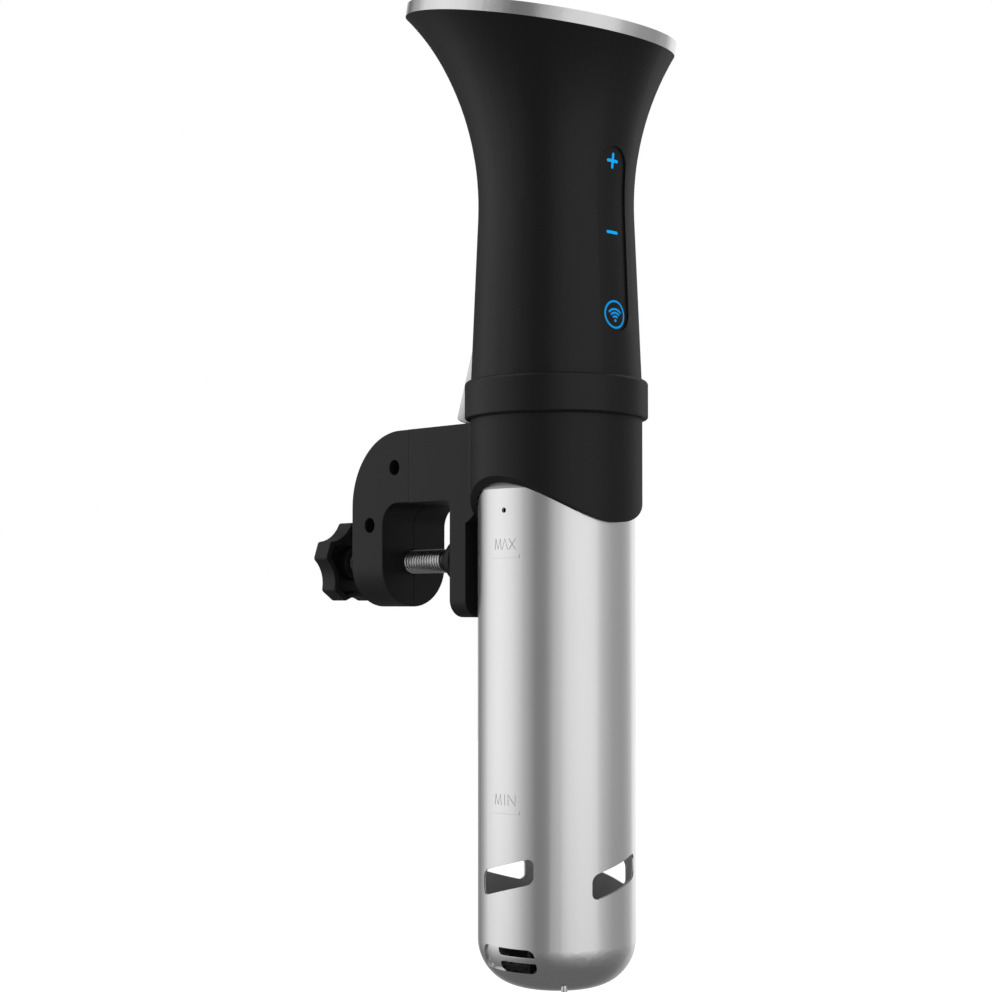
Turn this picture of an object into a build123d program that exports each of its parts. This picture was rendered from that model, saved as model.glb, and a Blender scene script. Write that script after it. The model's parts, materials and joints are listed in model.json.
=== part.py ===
from build123d import *
import os
from math import atan2, cos, degrees, pi, radians, sin, sqrt, tan

# Sous vide circulator: a steel skirt with heater and pump inside, a black head with a slanting
# round top, and a C-clamp behind that grips a pot's rim.
# Millimetres, +Z up.  The origin lies on the skirt's axis, on the dome's flat bottom.
# The controls face -Y, the clamp stands on the +Y side.

os.makedirs("parts", exist_ok=True)

# ---------------------------------------------------------------- clearances
seat_gap = 0.15          # between fixed pieces that slip over one another
inlay_gap = 0.05         # round pressed-in and let-in pieces
bearing_gap = 0.05       # radial running clearance of shafts and screws in their bores
swivel_gap = 0.10        # play between the screw's tip and its foot
skirt_gap = 0.4          # between the skirt and the sleeve
neck_gap = 0.6           # between the skirt's neck and the flange above it
over = 5.0               # how far a cutting or joining shape runs past the solid it meets

# ---------------------------------------------------------------- skirt
skirt_radius = 30.0
skirt_wall = 0.8
dome_corner = 17.5       # outer radius between tube and flat bottom
tube_height = 186.4      # from the dome's bottom to the crease where the tube steps in
neck_inset = 1.5
neck_step = 3.0          # height of the sloping shoulder
skirt_turn = 4.7         # degrees that the skirt's features are turned from the head's
inlet_count = 4
inlet_width = 24.4
inlet_height = 9.4
inlet_slant = 15.0       # degrees, rising to the right seen from outside
inlet_z = 43.0
inlet_small_corner = 2.0
inlet_large_corner = 3.6
outlet_width = 25.0
outlet_height = 9.0
outlet_z = 12.9
outlet_corner = 3.0
grille_wall = 0.8
grille_rib = 2.1
grille_side = 9.0        # solid strip seen beside the two slots
grille_rise = 0.4        # rib above the window's middle
grille_slot_run = 0.8    # how far the slots run on behind the wall
grille_slot_round = 0.45 # corner radius of a slot as a share of its height
grille_lap = 2.2         # how far the plate reaches behind the wall round the window
vent_radius = 1.0
vent_drop = 8.0          # vent hole below the crease
foot_radius = 1.15
foot_circle_radius = 22.0
foot_length = 5.5
foot_turn = 107.4        # degrees from the first outlet's middle to the first foot
foot_drop = 0.5          # how far the feet reach below the dome
foot_count = 3

# ---------------------------------------------------------------- barrel (carries everything)
barrel_inset = 1.7       # barrel smaller than the neck's bore
barrel_wall = 2.5
barrel_rise = 5.8        # its floor's underside above the skirt's crease
barrel_floor = 5.0
flange_play = 0.3
flange_height = 2.0
boss_radius = 3.2
boss_overlap = 0.7       # how far the bosses run into the wall
boss_count = 3
boss_depth = 12.0
boss_floor = 2.0         # solid below the screw holes
seal_groove = 0.8        # depth of the rubber ring's groove
seal_rise = 6.0          # rubber ring above the barrel's underside

# ---------------------------------------------------------------- sleeve, arm and jaw
sleeve_wall = 2.4
sleeve_rise = 27.5       # sleeve's top above the skirt's crease
sleeve_web = 7.2         # thickness of the web that rests on the barrel's flange
edge_drop = 12.5         # lowest point of the wavy edge, at the front, below the crease
edge_wave = 17.2         # rise of the wavy edge from the front to the sides
arm_width = 34.0
arm_height = 29.4
arm_length = 24.9        # from the jaw's face to the seam with the hook halves
jaw_gap = 3.0            # between the skirt and the jaw plate
jaw_thickness = 9.1
jaw_height = 75.4        # from the sleeve's top down to the jaw's end
jaw_corner = 7.0
jaw_root_fillet = 3.0
gusset_height = 16.0
gusset_radius = 17.5
grip_opening = 41.2      # from the jaw's face to the hook's inner face
hook_thickness = 19.7
hook_outer_corner = 30.0
hook_inner_corner = 9.0
hook_end_drop = 1.5      # middle of the hook's round end below the clamp screw's axis
tongue_width = 10.0
tongue_length = 15.0
tongue_height = 18.0
screw_drop = 52.7        # clamp screw's axis below the sleeve's top
hook_hole_radius = 3.0   # deep holes for the hook's screws
hook_hole_depth = 10.5
hook_screw_radius = 1.5
hook_screw_length = 17.0
hook_head_height = 2.5
hook_socket_radius = 1.2
hook_hole_spare = 1.0    # hole beyond the screws' tips
upper_screw_offset = (8.9, 14.9)   # behind the arm's seam, below its top
lower_screw_offset = (8.3, 14.8)   # behind the hook's inner face, above the clamp screw
insert_flats = 14.0      # across the flats of the threaded insert
insert_length = 14.0

# ---------------------------------------------------------------- clamp screw, foot and knob
thread_radius = 4.9
thread_bore_gap = 0.3    # hook's bore round the thread
pad_reach = 9.7          # from the jaw's face to the foot's face, as drawn
pad_radius = 9.0
pad_rim = 3.0            # straight part behind the face
pad_cone_radius = 7.1
pad_cone_length = 2.8
pad_tip_radius = 5.1
pad_length = 9.2
tip_radius = 3.0
tip_length = 6.8
clip_thickness = 1.0
clip_groove = 0.7
clip_radius = 4.2
clip_rise = 4.6          # clip behind the foot's face
clip_gap = 2.0
knob_reach = 16.4        # from the hook's outer face to the knob, as drawn
knob_thickness = 9.0
knob_lobes = 5
knob_lobe_radius = 17.3
knob_lobe_half = 3.9
knob_valley_radius = 14.2
knob_corner = 1.2
knob_inner_corner = 0.6
knob_edge_round = 1.0
knob_skin = 2.2
knob_recess = 5.0
knob_hub_radius = 7.4
screw_seat = 2.0         # how far the screw runs on into the knob's solid part

# ---------------------------------------------------------------- collar
collar_radius = 35.0
collar_height = 14.5
collar_round = 1.6
seam_chamfer = 0.6

# ---------------------------------------------------------------- head
head_wall = 2.5
head_floor = 2.5
head_waist_radius = 29.9
waist_rise = 62.2        # waist above the collar
head_lean = 2.5          # degrees that the side leans in, up to the waist
flare_low_radius = 116.0
flare_low_angle = 30.2
flare_top_radius = 95.5
flare_top_angle = 55.0
flare_spare = 60.0       # straight run past the top arc, above the rim and cut away
rim_tilt = 12.9          # degrees, low side at the front
rim_rise = 132.8         # rim plane above the collar, on the axis
bezel_height = 4.8
bezel_width = 4.6
lens_thickness = 2.2
lens_border = 1.6
pocket_width = 15.0
pocket_rise = 16.2       # pocket's lower end above the collar
pocket_length = 69.1
pocket_depth = 0.7       # its floor follows the head's side
pocket_backing = 3.0     # solid between the floor and the flat seat of the touch board, at the waist
pocket_margin = 2.0      # backing wider than the pocket, all round
inlay_depth = 0.8
symbol_size = 5.8
symbol_stroke = 1.1
plus_drop = 5.2          # middles of the plus and minus below the pocket's upper end
minus_drop = 31.9
wireless_rise = 6.4      # middle of the ring above the pocket's lower end
wireless_ring_radius = 5.3
wireless_stroke = 0.7
wireless_arcs = (1.6, 2.95, 4.3)
wireless_half_angle = 46.0
wireless_dot_radius = 0.56
wireless_dot_drop = 2.3
gland_plug_radius = 4.5
gland_plug_rise = 32.8   # above the collar
gland_flange_radius = 6.5
gland_flange = 1.2
gland_root_radius = 6.2
gland_tip_radius = 4.4
gland_bore_radius = 2.8
gland_bore_depth = 14.0
gland_lead = 8.0         # boot inside the head's outline, cut away there
gland_root_rise = 39.8   # where the boot's axis leaves the head, above the collar
gland_reach = 20.4       # how far its free end stands behind the head
gland_tip_rise = 2.9     # its free end above the arm

# ---------------------------------------------------------------- heater, sensors
heater_tube_radius = 3.0
heater_circle_radius = 17.0
heater_rise = 16.2       # lower bends above the inlets
heater_drop = 7.0        # upper bend below the barrel
heater_bend_slack = 0.01
ferrule_wall = 1.6
ferrule_length = 9.0
ferrule_drop = 2.0
probe_radius = 2.4
probe_circle_radius = 20.0
probe_rise = 4.0         # probe's tip above the heater's lower bends
level_radius = 1.5
level_circle_radius = 21.5
level_spread = 20.0      # degrees between the two level pins
minimum_level = 66.6     # lowest water level, above the dome's bottom
sensor_head = 3.0        # how far the pins stand above the barrel's floor
sensor_collar = 0.9

# ---------------------------------------------------------------- pump
shaft_radius = 2.0
shaft_tube_radius = 6.0
shaft_tube_wall = 1.5
bush_length = 8.0
pump_plate_play = 0.5    # plate smaller than the neck's bore, so that the skirt pulls off over it
pump_plate_thickness = 2.0
pump_hub_radius = 9.0
pump_hub_height = 6.0
pump_hub_drop = 2.0
pump_inlet_inner = 10.0
pump_inlet_outer = 16.0
pump_spokes = 3
pump_spoke_width = 4.0
pump_spoke_lap = 2.0
impeller_radius = 18.0
impeller_rise = 7.2      # blades' lower edges above the dome's bottom
impeller_height = 11.6
impeller_gap = 4.4       # between the impeller and the hub above it
impeller_disc = 1.6
impeller_hub_radius = 5.0
impeller_blades = 6
blade_thickness = 1.2
blade_offset = 3.0       # blades' middle planes beside the axis
nut_radius = 3.4
nut_height = 2.8
shaft_end = 0.6          # shaft below its nut
shaft_seal_radius = 8.0
shaft_seal_height = 4.0

# ---------------------------------------------------------------- motor
motor_plate_margin = 3.0
motor_plate = 3.0
motor_radius = 16.0
motor_wall = 1.6
motor_length = 36.0
motor_cap = 3.0
motor_pilot_radius = 5.0
motor_shaft_radius = 1.5
motor_shaft_end = 1.5    # shaft beyond the cap
magnet_thickness = 2.1
magnet_length = 28.0
magnet_angle = 130.0
rotor_gap = 0.65
rotor_length = 22.0
rotor_poles = 3
rotor_slot_radius = 3.8
rotor_slot_inset = 2.3
coupling_radius = 5.5
coupling_rise = 16.0     # above the barrel's floor
coupling_length = 16.0
coupling_split = 0.5     # between the two shafts' ends
plate_screw_radius = 1.25
plate_screw_head = 2.4
plate_screw_head_height = 1.8
plate_screw_length = 9.0

# ---------------------------------------------------------------- boards
board_thickness = 1.6
board_gap = 2.0          # main board behind the motor
main_board_width = 32.0
main_board_height = 90.0
touch_board_width = 13.0
touch_board_margin = 1.0
transformer_size = (18.0, 17.0, 20.0)
transformer_chamfer = 1.5
transformer_rise = 11.3  # above the motor
transformer_x = -6.0
capacitor_radius = 5.5
capacitor_length = 20.0
capacitor_x = 9.5
capacitor_rise = 21.3
triac_size = (10.0, 2.5, 14.0)
triac_rise = 36.3
sink_size = (26.0, 10.0, 14.0)
sink_base = 2.0
sink_fins = 5
sink_fin = 1.6
display_width = 40.0
display_depth = 24.0
display_thickness = 2.4
display_gap = 0.1
display_board_radius = 29.0
display_centre = 5.0     # how far the display lies behind the axis, along the slope

# ---------------------------------------------------------------- derived radii
neck_radius = skirt_radius - neck_inset
neck_bore = neck_radius - skirt_wall
barrel_radius = neck_bore - barrel_inset
sleeve_bore = skirt_radius + skirt_gap
sleeve_radius = sleeve_bore + sleeve_wall
flange_radius = sleeve_bore - flange_play
boss_circle_radius = barrel_radius - barrel_wall - boss_radius + boss_overlap
ferrule_radius = heater_tube_radius + ferrule_wall
seal_groove_radius = barrel_radius - seal_groove
seal_radius = (neck_bore - swivel_gap - seal_groove_radius) / 2
pump_plate_radius = neck_bore - pump_plate_play
motor_plate_radius = barrel_radius + motor_plate_margin
rotor_radius = motor_radius - motor_wall - inlay_gap - magnet_thickness - rotor_gap

# ---------------------------------------------------------------- derived depths, along Y
jaw_front_y = skirt_radius + jaw_gap
jaw_face_y = jaw_front_y + jaw_thickness
arm_joint_y = jaw_face_y + arm_length
hook_inner_y = jaw_face_y + grip_opening
hook_outer_y = hook_inner_y + hook_thickness
insert_y = (hook_inner_y + hook_outer_y) / 2
pad_face_y = jaw_face_y + pad_reach
pad_back_y = pad_face_y + pad_length
clip_y = pad_face_y + clip_rise
knob_inner_y = hook_outer_y + knob_reach
main_board_y = motor_radius + board_gap
pocket_seat_y = head_waist_radius - pocket_depth - pocket_backing

# ---------------------------------------------------------------- derived heights
dome_bottom_z = 0.0
skirt_rim_z = dome_bottom_z + tube_height
vent_z = skirt_rim_z - vent_drop
sleeve_top_z = skirt_rim_z + sleeve_rise
web_bottom_z = sleeve_top_z - sleeve_web
neck_top_z = web_bottom_z - flange_height - neck_gap
edge_low_z = skirt_rim_z - edge_drop
edge_top_z = edge_low_z + edge_wave
arm_bottom_z = sleeve_top_z - arm_height
jaw_bottom_z = sleeve_top_z - jaw_height
screw_axis_z = sleeve_top_z - screw_drop
hook_end_z = screw_axis_z - hook_end_drop
tongue_z = sleeve_top_z - arm_height / 2
barrel_bottom_z = skirt_rim_z + barrel_rise
floor_top_z = barrel_bottom_z + barrel_floor
seal_z = barrel_bottom_z + seal_rise
collar_top_z = sleeve_top_z + collar_height
head_floor_top_z = collar_top_z + head_floor
barrel_top_z = head_floor_top_z
head_waist_z = collar_top_z + waist_rise
rim_axis_z = collar_top_z + rim_rise
pocket_bottom_z = collar_top_z + pocket_rise
pocket_top_z = pocket_bottom_z + pocket_length
plus_z = pocket_top_z - plus_drop
minus_z = pocket_top_z - minus_drop
wireless_z = pocket_bottom_z + wireless_rise
gland_plug_z = collar_top_z + gland_plug_rise
gland_root = (head_waist_radius + seat_gap, collar_top_z + gland_root_rise)
gland_tip = (head_waist_radius + gland_reach, sleeve_top_z + gland_tip_rise)
heater_bottom_z = inlet_z + heater_rise
heater_top_z = barrel_bottom_z - heater_drop
probe_bottom_z = heater_bottom_z + probe_rise
impeller_bottom_z = dome_bottom_z + impeller_rise
impeller_top_z = impeller_bottom_z + impeller_height
shaft_bottom_z = impeller_bottom_z - nut_height - shaft_end
shaft_tube_bottom_z = impeller_top_z + impeller_gap
pump_plate_z = shaft_tube_bottom_z + pump_hub_drop
coupling_bottom_z = floor_top_z + coupling_rise
coupling_top_z = coupling_bottom_z + coupling_length
coupling_middle_z = (coupling_bottom_z + coupling_top_z) / 2
shaft_top_z = coupling_middle_z - coupling_split / 2
motor_shaft_bottom_z = coupling_middle_z + coupling_split / 2
motor_bottom_z = barrel_top_z + motor_plate
motor_top_z = motor_bottom_z + motor_length
cap_top_z = motor_top_z + motor_cap
transformer_z = cap_top_z + transformer_rise
capacitor_z = cap_top_z + capacitor_rise
triac_z = cap_top_z + triac_rise

upper_screw = (arm_joint_y + upper_screw_offset[0], sleeve_top_z - upper_screw_offset[1])
lower_screw = (hook_inner_y + lower_screw_offset[0], screw_axis_z + lower_screw_offset[1])
hook_screw_places = (upper_screw, lower_screw)
rim_plane = Plane(origin=(0, 0, rim_axis_z), x_dir=(1, 0, 0),
                  z_dir=(0, -sin(radians(rim_tilt)), cos(radians(rim_tilt))))


def cylinder(radius, z_low, z_high, x=0.0, y=0.0):
    """Upright cylinder between two heights."""
    return Pos(x, y, (z_low + z_high) / 2) * Cylinder(radius, z_high - z_low)


def tube(outer, inner, z_low, z_high, x=0.0, y=0.0):
    return cylinder(outer, z_low, z_high, x, y) - cylinder(inner, z_low - over, z_high + over, x, y)


def bar_y(radius, y_low, y_high, z, x=0.0):
    """Cylinder that lies along Y."""
    return Pos(x, (y_low + y_high) / 2, z) * Rot(90, 0, 0) * Cylinder(radius, y_high - y_low)


def bar_x(radius, x_low, x_high, y, z):
    """Cylinder that lies along X."""
    return Pos((x_low + x_high) / 2, y, z) * Rot(0, 90, 0) * Cylinder(radius, x_high - x_low)


def block(x_low, x_high, y_low, y_high, z_low, z_high):
    centre = Pos((x_low + x_high) / 2, (y_low + y_high) / 2, (z_low + z_high) / 2)
    return centre * Box(x_high - x_low, y_high - y_low, z_high - z_low)


def turned(*edges):
    """Solid of revolution about Z from a closed outline in the XZ plane."""
    return revolve(Plane.XZ * make_face(Wire(list(edges))), Axis.Z)


def polar(radius, angle):
    return radius * cos(radians(angle)), radius * sin(radians(angle))


# ---------------------------------------------------------------- skirt and its pieces
def skirt_body(inset):
    """Solid skirt shape, its surface moved inwards by inset."""
    outer = skirt_radius - inset
    corner = dome_corner - inset
    bottom = dome_bottom_z + inset
    corner_x = skirt_radius - dome_corner
    corner_z = dome_bottom_z + dome_corner
    neck = neck_radius - inset
    slope = atan2(neck_step, neck_inset)
    crease_z = skirt_rim_z - inset * tan((pi / 2 - slope) / 2)
    neck_z = skirt_rim_z + neck_step - inset * tan((pi / 2 - slope) / 2)
    top = neck_top_z + inset
    return turned(
        Line((0, bottom), (corner_x, bottom)),
        CenterArc((corner_x, corner_z), corner, -90, 90),
        Line((outer, corner_z), (outer, crease_z)),
        Line((outer, crease_z), (neck, neck_z)),
        Line((neck, neck_z), (neck, top)),
        Line((neck, top), (0, top)),
        Line((0, top), (0, bottom)))


def skirt_frame(angle, z=0.0):
    """Frame whose X axis points outwards from the skirt, at an angle of the skirt's own."""
    return Pos(0, 0, z) * Rot(0, 0, angle + skirt_turn)


def slanted_window():
    """Prism through one wall, along +X: upright ends, slanting long sides."""
    half = inlet_width / 2
    rise = half * tan(radians(inlet_slant))
    low = -inlet_height / 2
    high = inlet_height / 2
    # seen from outside the right-hand side is towards +Y, so the window rises with +Y
    corners = [(-half, low - rise), (half, low + rise), (half, high + rise), (-half, high - rise)]
    face = make_face(Polyline(*corners, close=True))
    sharp = face.vertices()
    right_bottom_left_top = [v for v in sharp if (v.X > 0) != (v.Y > v.X * tan(radians(inlet_slant)))]
    rest = [v for v in sharp if v not in right_bottom_left_top]
    sketch = fillet(right_bottom_left_top, inlet_large_corner)
    left = [min(sketch.vertices(), key=lambda v, w=w: abs(v.X - w.X) + abs(v.Y - w.Y)) for w in rest]
    sketch = fillet(left, inlet_small_corner)
    return extrude(Plane.YZ * sketch, amount=skirt_radius + over)


def outlet_window(lap):
    """Prism through one wall, along +X, larger than the outlet by lap all round."""
    sketch = RectangleRounded(outlet_width + 2 * lap, outlet_height + 2 * lap, outlet_corner)
    return extrude(Plane.YZ * sketch, amount=skirt_radius + over)


def steel_skirt():
    skirt = skirt_body(0) - skirt_body(skirt_wall)
    window = slanted_window()
    for index in range(inlet_count):
        skirt -= skirt_frame(index * 360 / inlet_count, inlet_z) * window
    for angle in (0, 180):
        skirt -= skirt_frame(angle, outlet_z) * outlet_window(0)
    skirt -= skirt_frame(180, vent_z) * Pos(skirt_radius, 0, 0) * Rot(0, 90, 0) * Cylinder(vent_radius, over)
    for place in foot_places():
        skirt -= place * cylinder(foot_radius + inlay_gap, -foot_drop, foot_length)
    return skirt


def foot_places():
    step = 360 / foot_count
    return [skirt_frame(foot_turn + index * step) * Pos(foot_circle_radius, 0, 0) for index in range(foot_count)]


def skirt_feet():
    return [place * cylinder(foot_radius, -foot_drop, foot_length - foot_drop) for place in foot_places()]


def outlet_grilles():
    """Curved plates behind the outlets, each with a rib between two slots."""
    shell = skirt_body(skirt_wall) - skirt_body(skirt_wall + grille_wall)
    slot_height = (outlet_height - grille_rib) / 2 + grille_slot_run - grille_rise
    slot_width = outlet_width - grille_side + grille_slot_run
    slot = extrude(Plane.YZ * RectangleRounded(slot_width, slot_height, slot_height * grille_slot_round),
                   amount=skirt_radius + over)
    aside = (outlet_width + 2 * grille_slot_run - slot_width) / 2
    shift = (grille_rib + slot_height) / 2
    grilles = []
    for angle in (0, 180):
        plate = shell & (skirt_frame(angle, outlet_z) * outlet_window(grille_lap))
        for side in (-1, 1):
            plate -= skirt_frame(angle, outlet_z) * Pos(0, aside, grille_rise + side * shift) * slot
        grilles.append(plate.solids()[0])
    return grilles


# ---------------------------------------------------------------- barrel
def boss_places():
    return [polar(boss_circle_radius, 30 + index * 360 / boss_count) for index in range(boss_count)]


def heater_legs():
    """The four upright legs: the first and the last go up through the barrel's floor."""
    return [polar(heater_circle_radius, -45 + index * 90) for index in range(4)]


def level_places():
    return [polar(level_circle_radius, 90 + side * level_spread / 2) for side in (-1, 1)]


def core_housing():
    barrel = cylinder(barrel_radius, barrel_bottom_z, barrel_top_z)
    barrel += cylinder(flange_radius, web_bottom_z - flange_height, web_bottom_z)
    barrel -= cylinder(barrel_radius - barrel_wall, floor_top_z, barrel_top_z + over)
    for x, y in boss_places():
        barrel += cylinder(boss_radius, barrel_top_z - boss_depth, barrel_top_z, x, y)
        barrel -= cylinder(plate_screw_radius, barrel_top_z - boss_depth + boss_floor,
                           barrel_top_z + over, x, y)
    half = seal_radius + inlay_gap
    barrel -= tube(barrel_radius + over, seal_groove_radius, seal_z - half, seal_z + half)
    low, high = barrel_bottom_z - over, floor_top_z + over
    barrel -= cylinder(shaft_tube_radius + inlay_gap, low, high)
    legs = heater_legs()
    for x, y in (legs[0], legs[3]):
        barrel -= cylinder(ferrule_radius + inlay_gap, low, high, x, y)
    x, y = polar(probe_circle_radius, -90)
    barrel -= cylinder(probe_radius + inlay_gap, low, high, x, y)
    for x, y in level_places():
        barrel -= cylinder(level_radius + inlay_gap, low, high, x, y)
    return barrel


def skirt_seal():
    """Ring in the barrel's groove; it just misses the neck, as the real one is squeezed there."""
    return Pos(0, 0, seal_z) * Torus(seal_groove_radius + seal_radius, seal_radius)


# ---------------------------------------------------------------- sleeve with arm and jaw
def below_edge(radius):
    """Everything below the sleeve's wavy edge."""
    low = edge_low_z - 2 * over
    curve = Bezier((-radius, edge_top_z), (0, edge_low_z - edge_wave), (radius, edge_top_z))
    rest = Polyline((radius, edge_top_z), (radius, low), (-radius, low), (-radius, edge_top_z))
    return extrude(Plane.XZ * make_face(Wire([curve, *rest.edges()])), amount=radius + over, both=True)


def clamp_sleeve():
    sleeve = cylinder(sleeve_radius, edge_low_z - over, sleeve_top_z) - below_edge(sleeve_radius)
    half = arm_width / 2
    arm = block(-half, half, jaw_front_y, arm_joint_y, arm_bottom_z, sleeve_top_z)
    plate = block(-half, half, jaw_front_y, jaw_face_y, jaw_bottom_z, sleeve_top_z)
    plate = fillet(plate.edges().filter_by(Axis.Y).group_by(Axis.Z)[0], jaw_corner)
    root = Wire([
        Line((jaw_front_y, edge_top_z), (jaw_front_y, edge_top_z - gusset_height)),
        RadiusArc((jaw_front_y, edge_top_z - gusset_height), gusset_top(), gusset_radius),
        Line(gusset_top(), (jaw_front_y, edge_top_z))])
    gusset = extrude(Plane.YZ * make_face(root), amount=half, both=True)
    web = block(-half, half, 0, jaw_front_y + over, edge_top_z, sleeve_top_z)
    body = sleeve + arm + web + plate + gusset
    inner_corner = body.edges().filter_by(Axis.X).filter_by(
        lambda e: abs(e.center().Y - jaw_face_y) < 0.01 and abs(e.center().Z - arm_bottom_z) < 0.01)
    body = fillet(inner_corner, jaw_root_fillet)
    body -= cylinder(sleeve_bore, jaw_bottom_z - over, web_bottom_z)
    body -= cylinder(barrel_radius + seat_gap, web_bottom_z - over, sleeve_top_z + over)
    tongue = block(-tongue_width / 2, tongue_width / 2, arm_joint_y - over, arm_joint_y + tongue_length,
                   tongue_z - tongue_height / 2, tongue_z + tongue_height / 2)
    body += tongue
    y, z = hook_screw_places[0]
    body -= bar_x(hook_screw_radius + seat_gap, -half, half, y, z)
    return body


def gusset_top():
    """Where the gusset's arc meets the height of the sleeve's edge."""
    return jaw_front_y - gusset_radius + sqrt(gusset_radius ** 2 - gusset_height ** 2), edge_top_z


# ---------------------------------------------------------------- hook
def hook_body():
    half = arm_width / 2
    top = sleeve_top_z
    outer = Wire([
        Line((arm_joint_y, top), (hook_outer_y - hook_outer_corner, top)),
        CenterArc((hook_outer_y - hook_outer_corner, top - hook_outer_corner), hook_outer_corner, 90, -90),
        Line((hook_outer_y, top - hook_outer_corner), (hook_outer_y, hook_end_z - half)),
        Line((hook_outer_y, hook_end_z - half), (hook_inner_y, hook_end_z - half)),
        Line((hook_inner_y, hook_end_z - half), (hook_inner_y, arm_bottom_z - hook_inner_corner)),
        CenterArc((hook_inner_y - hook_inner_corner, arm_bottom_z - hook_inner_corner),
                  hook_inner_corner, 0, 90),
        Line((hook_inner_y - hook_inner_corner, arm_bottom_z), (arm_joint_y, arm_bottom_z)),
        Line((arm_joint_y, arm_bottom_z), (arm_joint_y, top))])
    side = extrude(Plane.YZ * make_face(outer), amount=half, both=True)
    end = bar_y(half, arm_joint_y - over, hook_outer_y + over, hook_end_z)
    end += block(-half, half, arm_joint_y - over, hook_outer_y + over, hook_end_z, top + over)
    hook = side & end
    play = seat_gap
    hook -= block(-tongue_width / 2 - play, tongue_width / 2 + play, arm_joint_y - over,
                  arm_joint_y + tongue_length + play, tongue_z - tongue_height / 2 - play,
                  tongue_z + tongue_height / 2 + play)
    hook -= bar_y(thread_radius + thread_bore_gap, hook_inner_y - over, hook_outer_y + over, screw_axis_z)
    hook -= insert_prism(insert_flats / 2 + inlay_gap, insert_length + 2 * inlay_gap)
    for y, z in hook_screw_places:
        hook -= bar_x(hook_hole_radius, -half - over, -half + hook_hole_depth, y, z)
        hook -= bar_x(hook_screw_radius + inlay_gap, -half, screw_tip_x() + hook_hole_spare, y, z)
    return hook


def insert_prism(flat_radius, length):
    """Hexagonal prism along the clamp screw's axis."""
    hexagon = RegularPolygon(flat_radius, 6, major_radius=False)
    return Pos(0, insert_y, screw_axis_z) * Rot(90, 0, 0) * extrude(hexagon, amount=length / 2, both=True)


def screw_tip_x():
    return -arm_width / 2 + hook_hole_depth - hook_head_height + hook_screw_length


def hook_half(side):
    half = arm_width / 2
    low, high = (-half, 0) if side < 0 else (0, half)
    bottom_z = hook_end_z - half
    return hook_body() & block(low, high, arm_joint_y, hook_outer_y, bottom_z, sleeve_top_z)


def hook_screws():
    screws = []
    seat_x = -arm_width / 2 + hook_hole_depth
    for y, z in hook_screw_places:
        head = bar_x(hook_hole_radius - seat_gap, seat_x - hook_head_height, seat_x, y, z)
        socket = bar_x(hook_socket_radius, seat_x - over, seat_x - hook_head_height / 2, y, z)
        screws.append(head + bar_x(hook_screw_radius, seat_x, screw_tip_x(), y, z) - socket)
    return screws


def thread_insert():
    return insert_prism(insert_flats / 2, insert_length) - bar_y(
        thread_radius + bearing_gap, hook_inner_y, hook_outer_y, screw_axis_z)


# ---------------------------------------------------------------- screw, foot, knob
def clamp_screw():
    shoulder_y = pad_back_y + swivel_gap
    tip_y = shoulder_y - tip_length
    end_y = knob_inner_y + knob_recess + screw_seat
    screw = bar_y(thread_radius, shoulder_y, end_y, screw_axis_z)
    screw += bar_y(tip_radius, tip_y, shoulder_y, screw_axis_z)
    groove = bar_y(tip_radius + over, clip_y - swivel_gap, clip_y + clip_thickness + swivel_gap, screw_axis_z)
    groove -= bar_y(tip_radius - clip_groove, tip_y, shoulder_y, screw_axis_z)
    return screw - groove


def pressure_pad():
    """Swivelling foot: flat face towards the jaw, cone towards the screw."""
    outline = Polyline(
        (0, pad_face_y), (pad_radius, pad_face_y), (pad_radius, pad_face_y + pad_rim),
        (pad_cone_radius, pad_face_y + pad_rim + pad_cone_length), (pad_tip_radius, pad_back_y),
        (0, pad_back_y), close=True)
    pad = Pos(0, 0, screw_axis_z) * revolve(make_face(outline), Axis.Y)
    pad -= bar_y(tip_radius + swivel_gap, pad_back_y - tip_length, pad_back_y + over, screw_axis_z)
    clip_end_y = clip_y + clip_thickness
    pad -= bar_y(clip_radius + inlay_gap, clip_y - inlay_gap, clip_end_y + inlay_gap, screw_axis_z)
    return pad


def pad_clip():
    ring = bar_y(clip_radius, clip_y, clip_y + clip_thickness, screw_axis_z)
    bore = tip_radius - clip_groove + swivel_gap
    low_y, high_y = clip_y - over, clip_y + clip_thickness + over
    ring -= bar_y(bore, low_y, high_y, screw_axis_z)
    low_z = screw_axis_z - clip_radius - over
    return ring - block(-clip_gap / 2, clip_gap / 2, low_y, high_y, low_z, screw_axis_z)


def star(lobe_radius, lobe_half, valley_radius, corner):
    """Knob outline: flat lobes joined by hollow arcs, one lobe straight up."""
    edges = []
    step = 360 / knob_lobes
    reach = sqrt(lobe_radius ** 2 + lobe_half ** 2)
    spread = degrees(atan2(lobe_half, lobe_radius))
    for index in range(knob_lobes):
        middle = 90 + index * step
        first = polar(reach, middle - spread)
        second = polar(reach, middle + spread)
        valley = polar(valley_radius, middle + step / 2)
        following = polar(reach, middle + step - spread)
        edges.append(Line(first, second))
        edges.append(ThreePointArc(second, valley, following))
    face = make_face(Wire(edges))
    return fillet(face.vertices(), corner)


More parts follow.
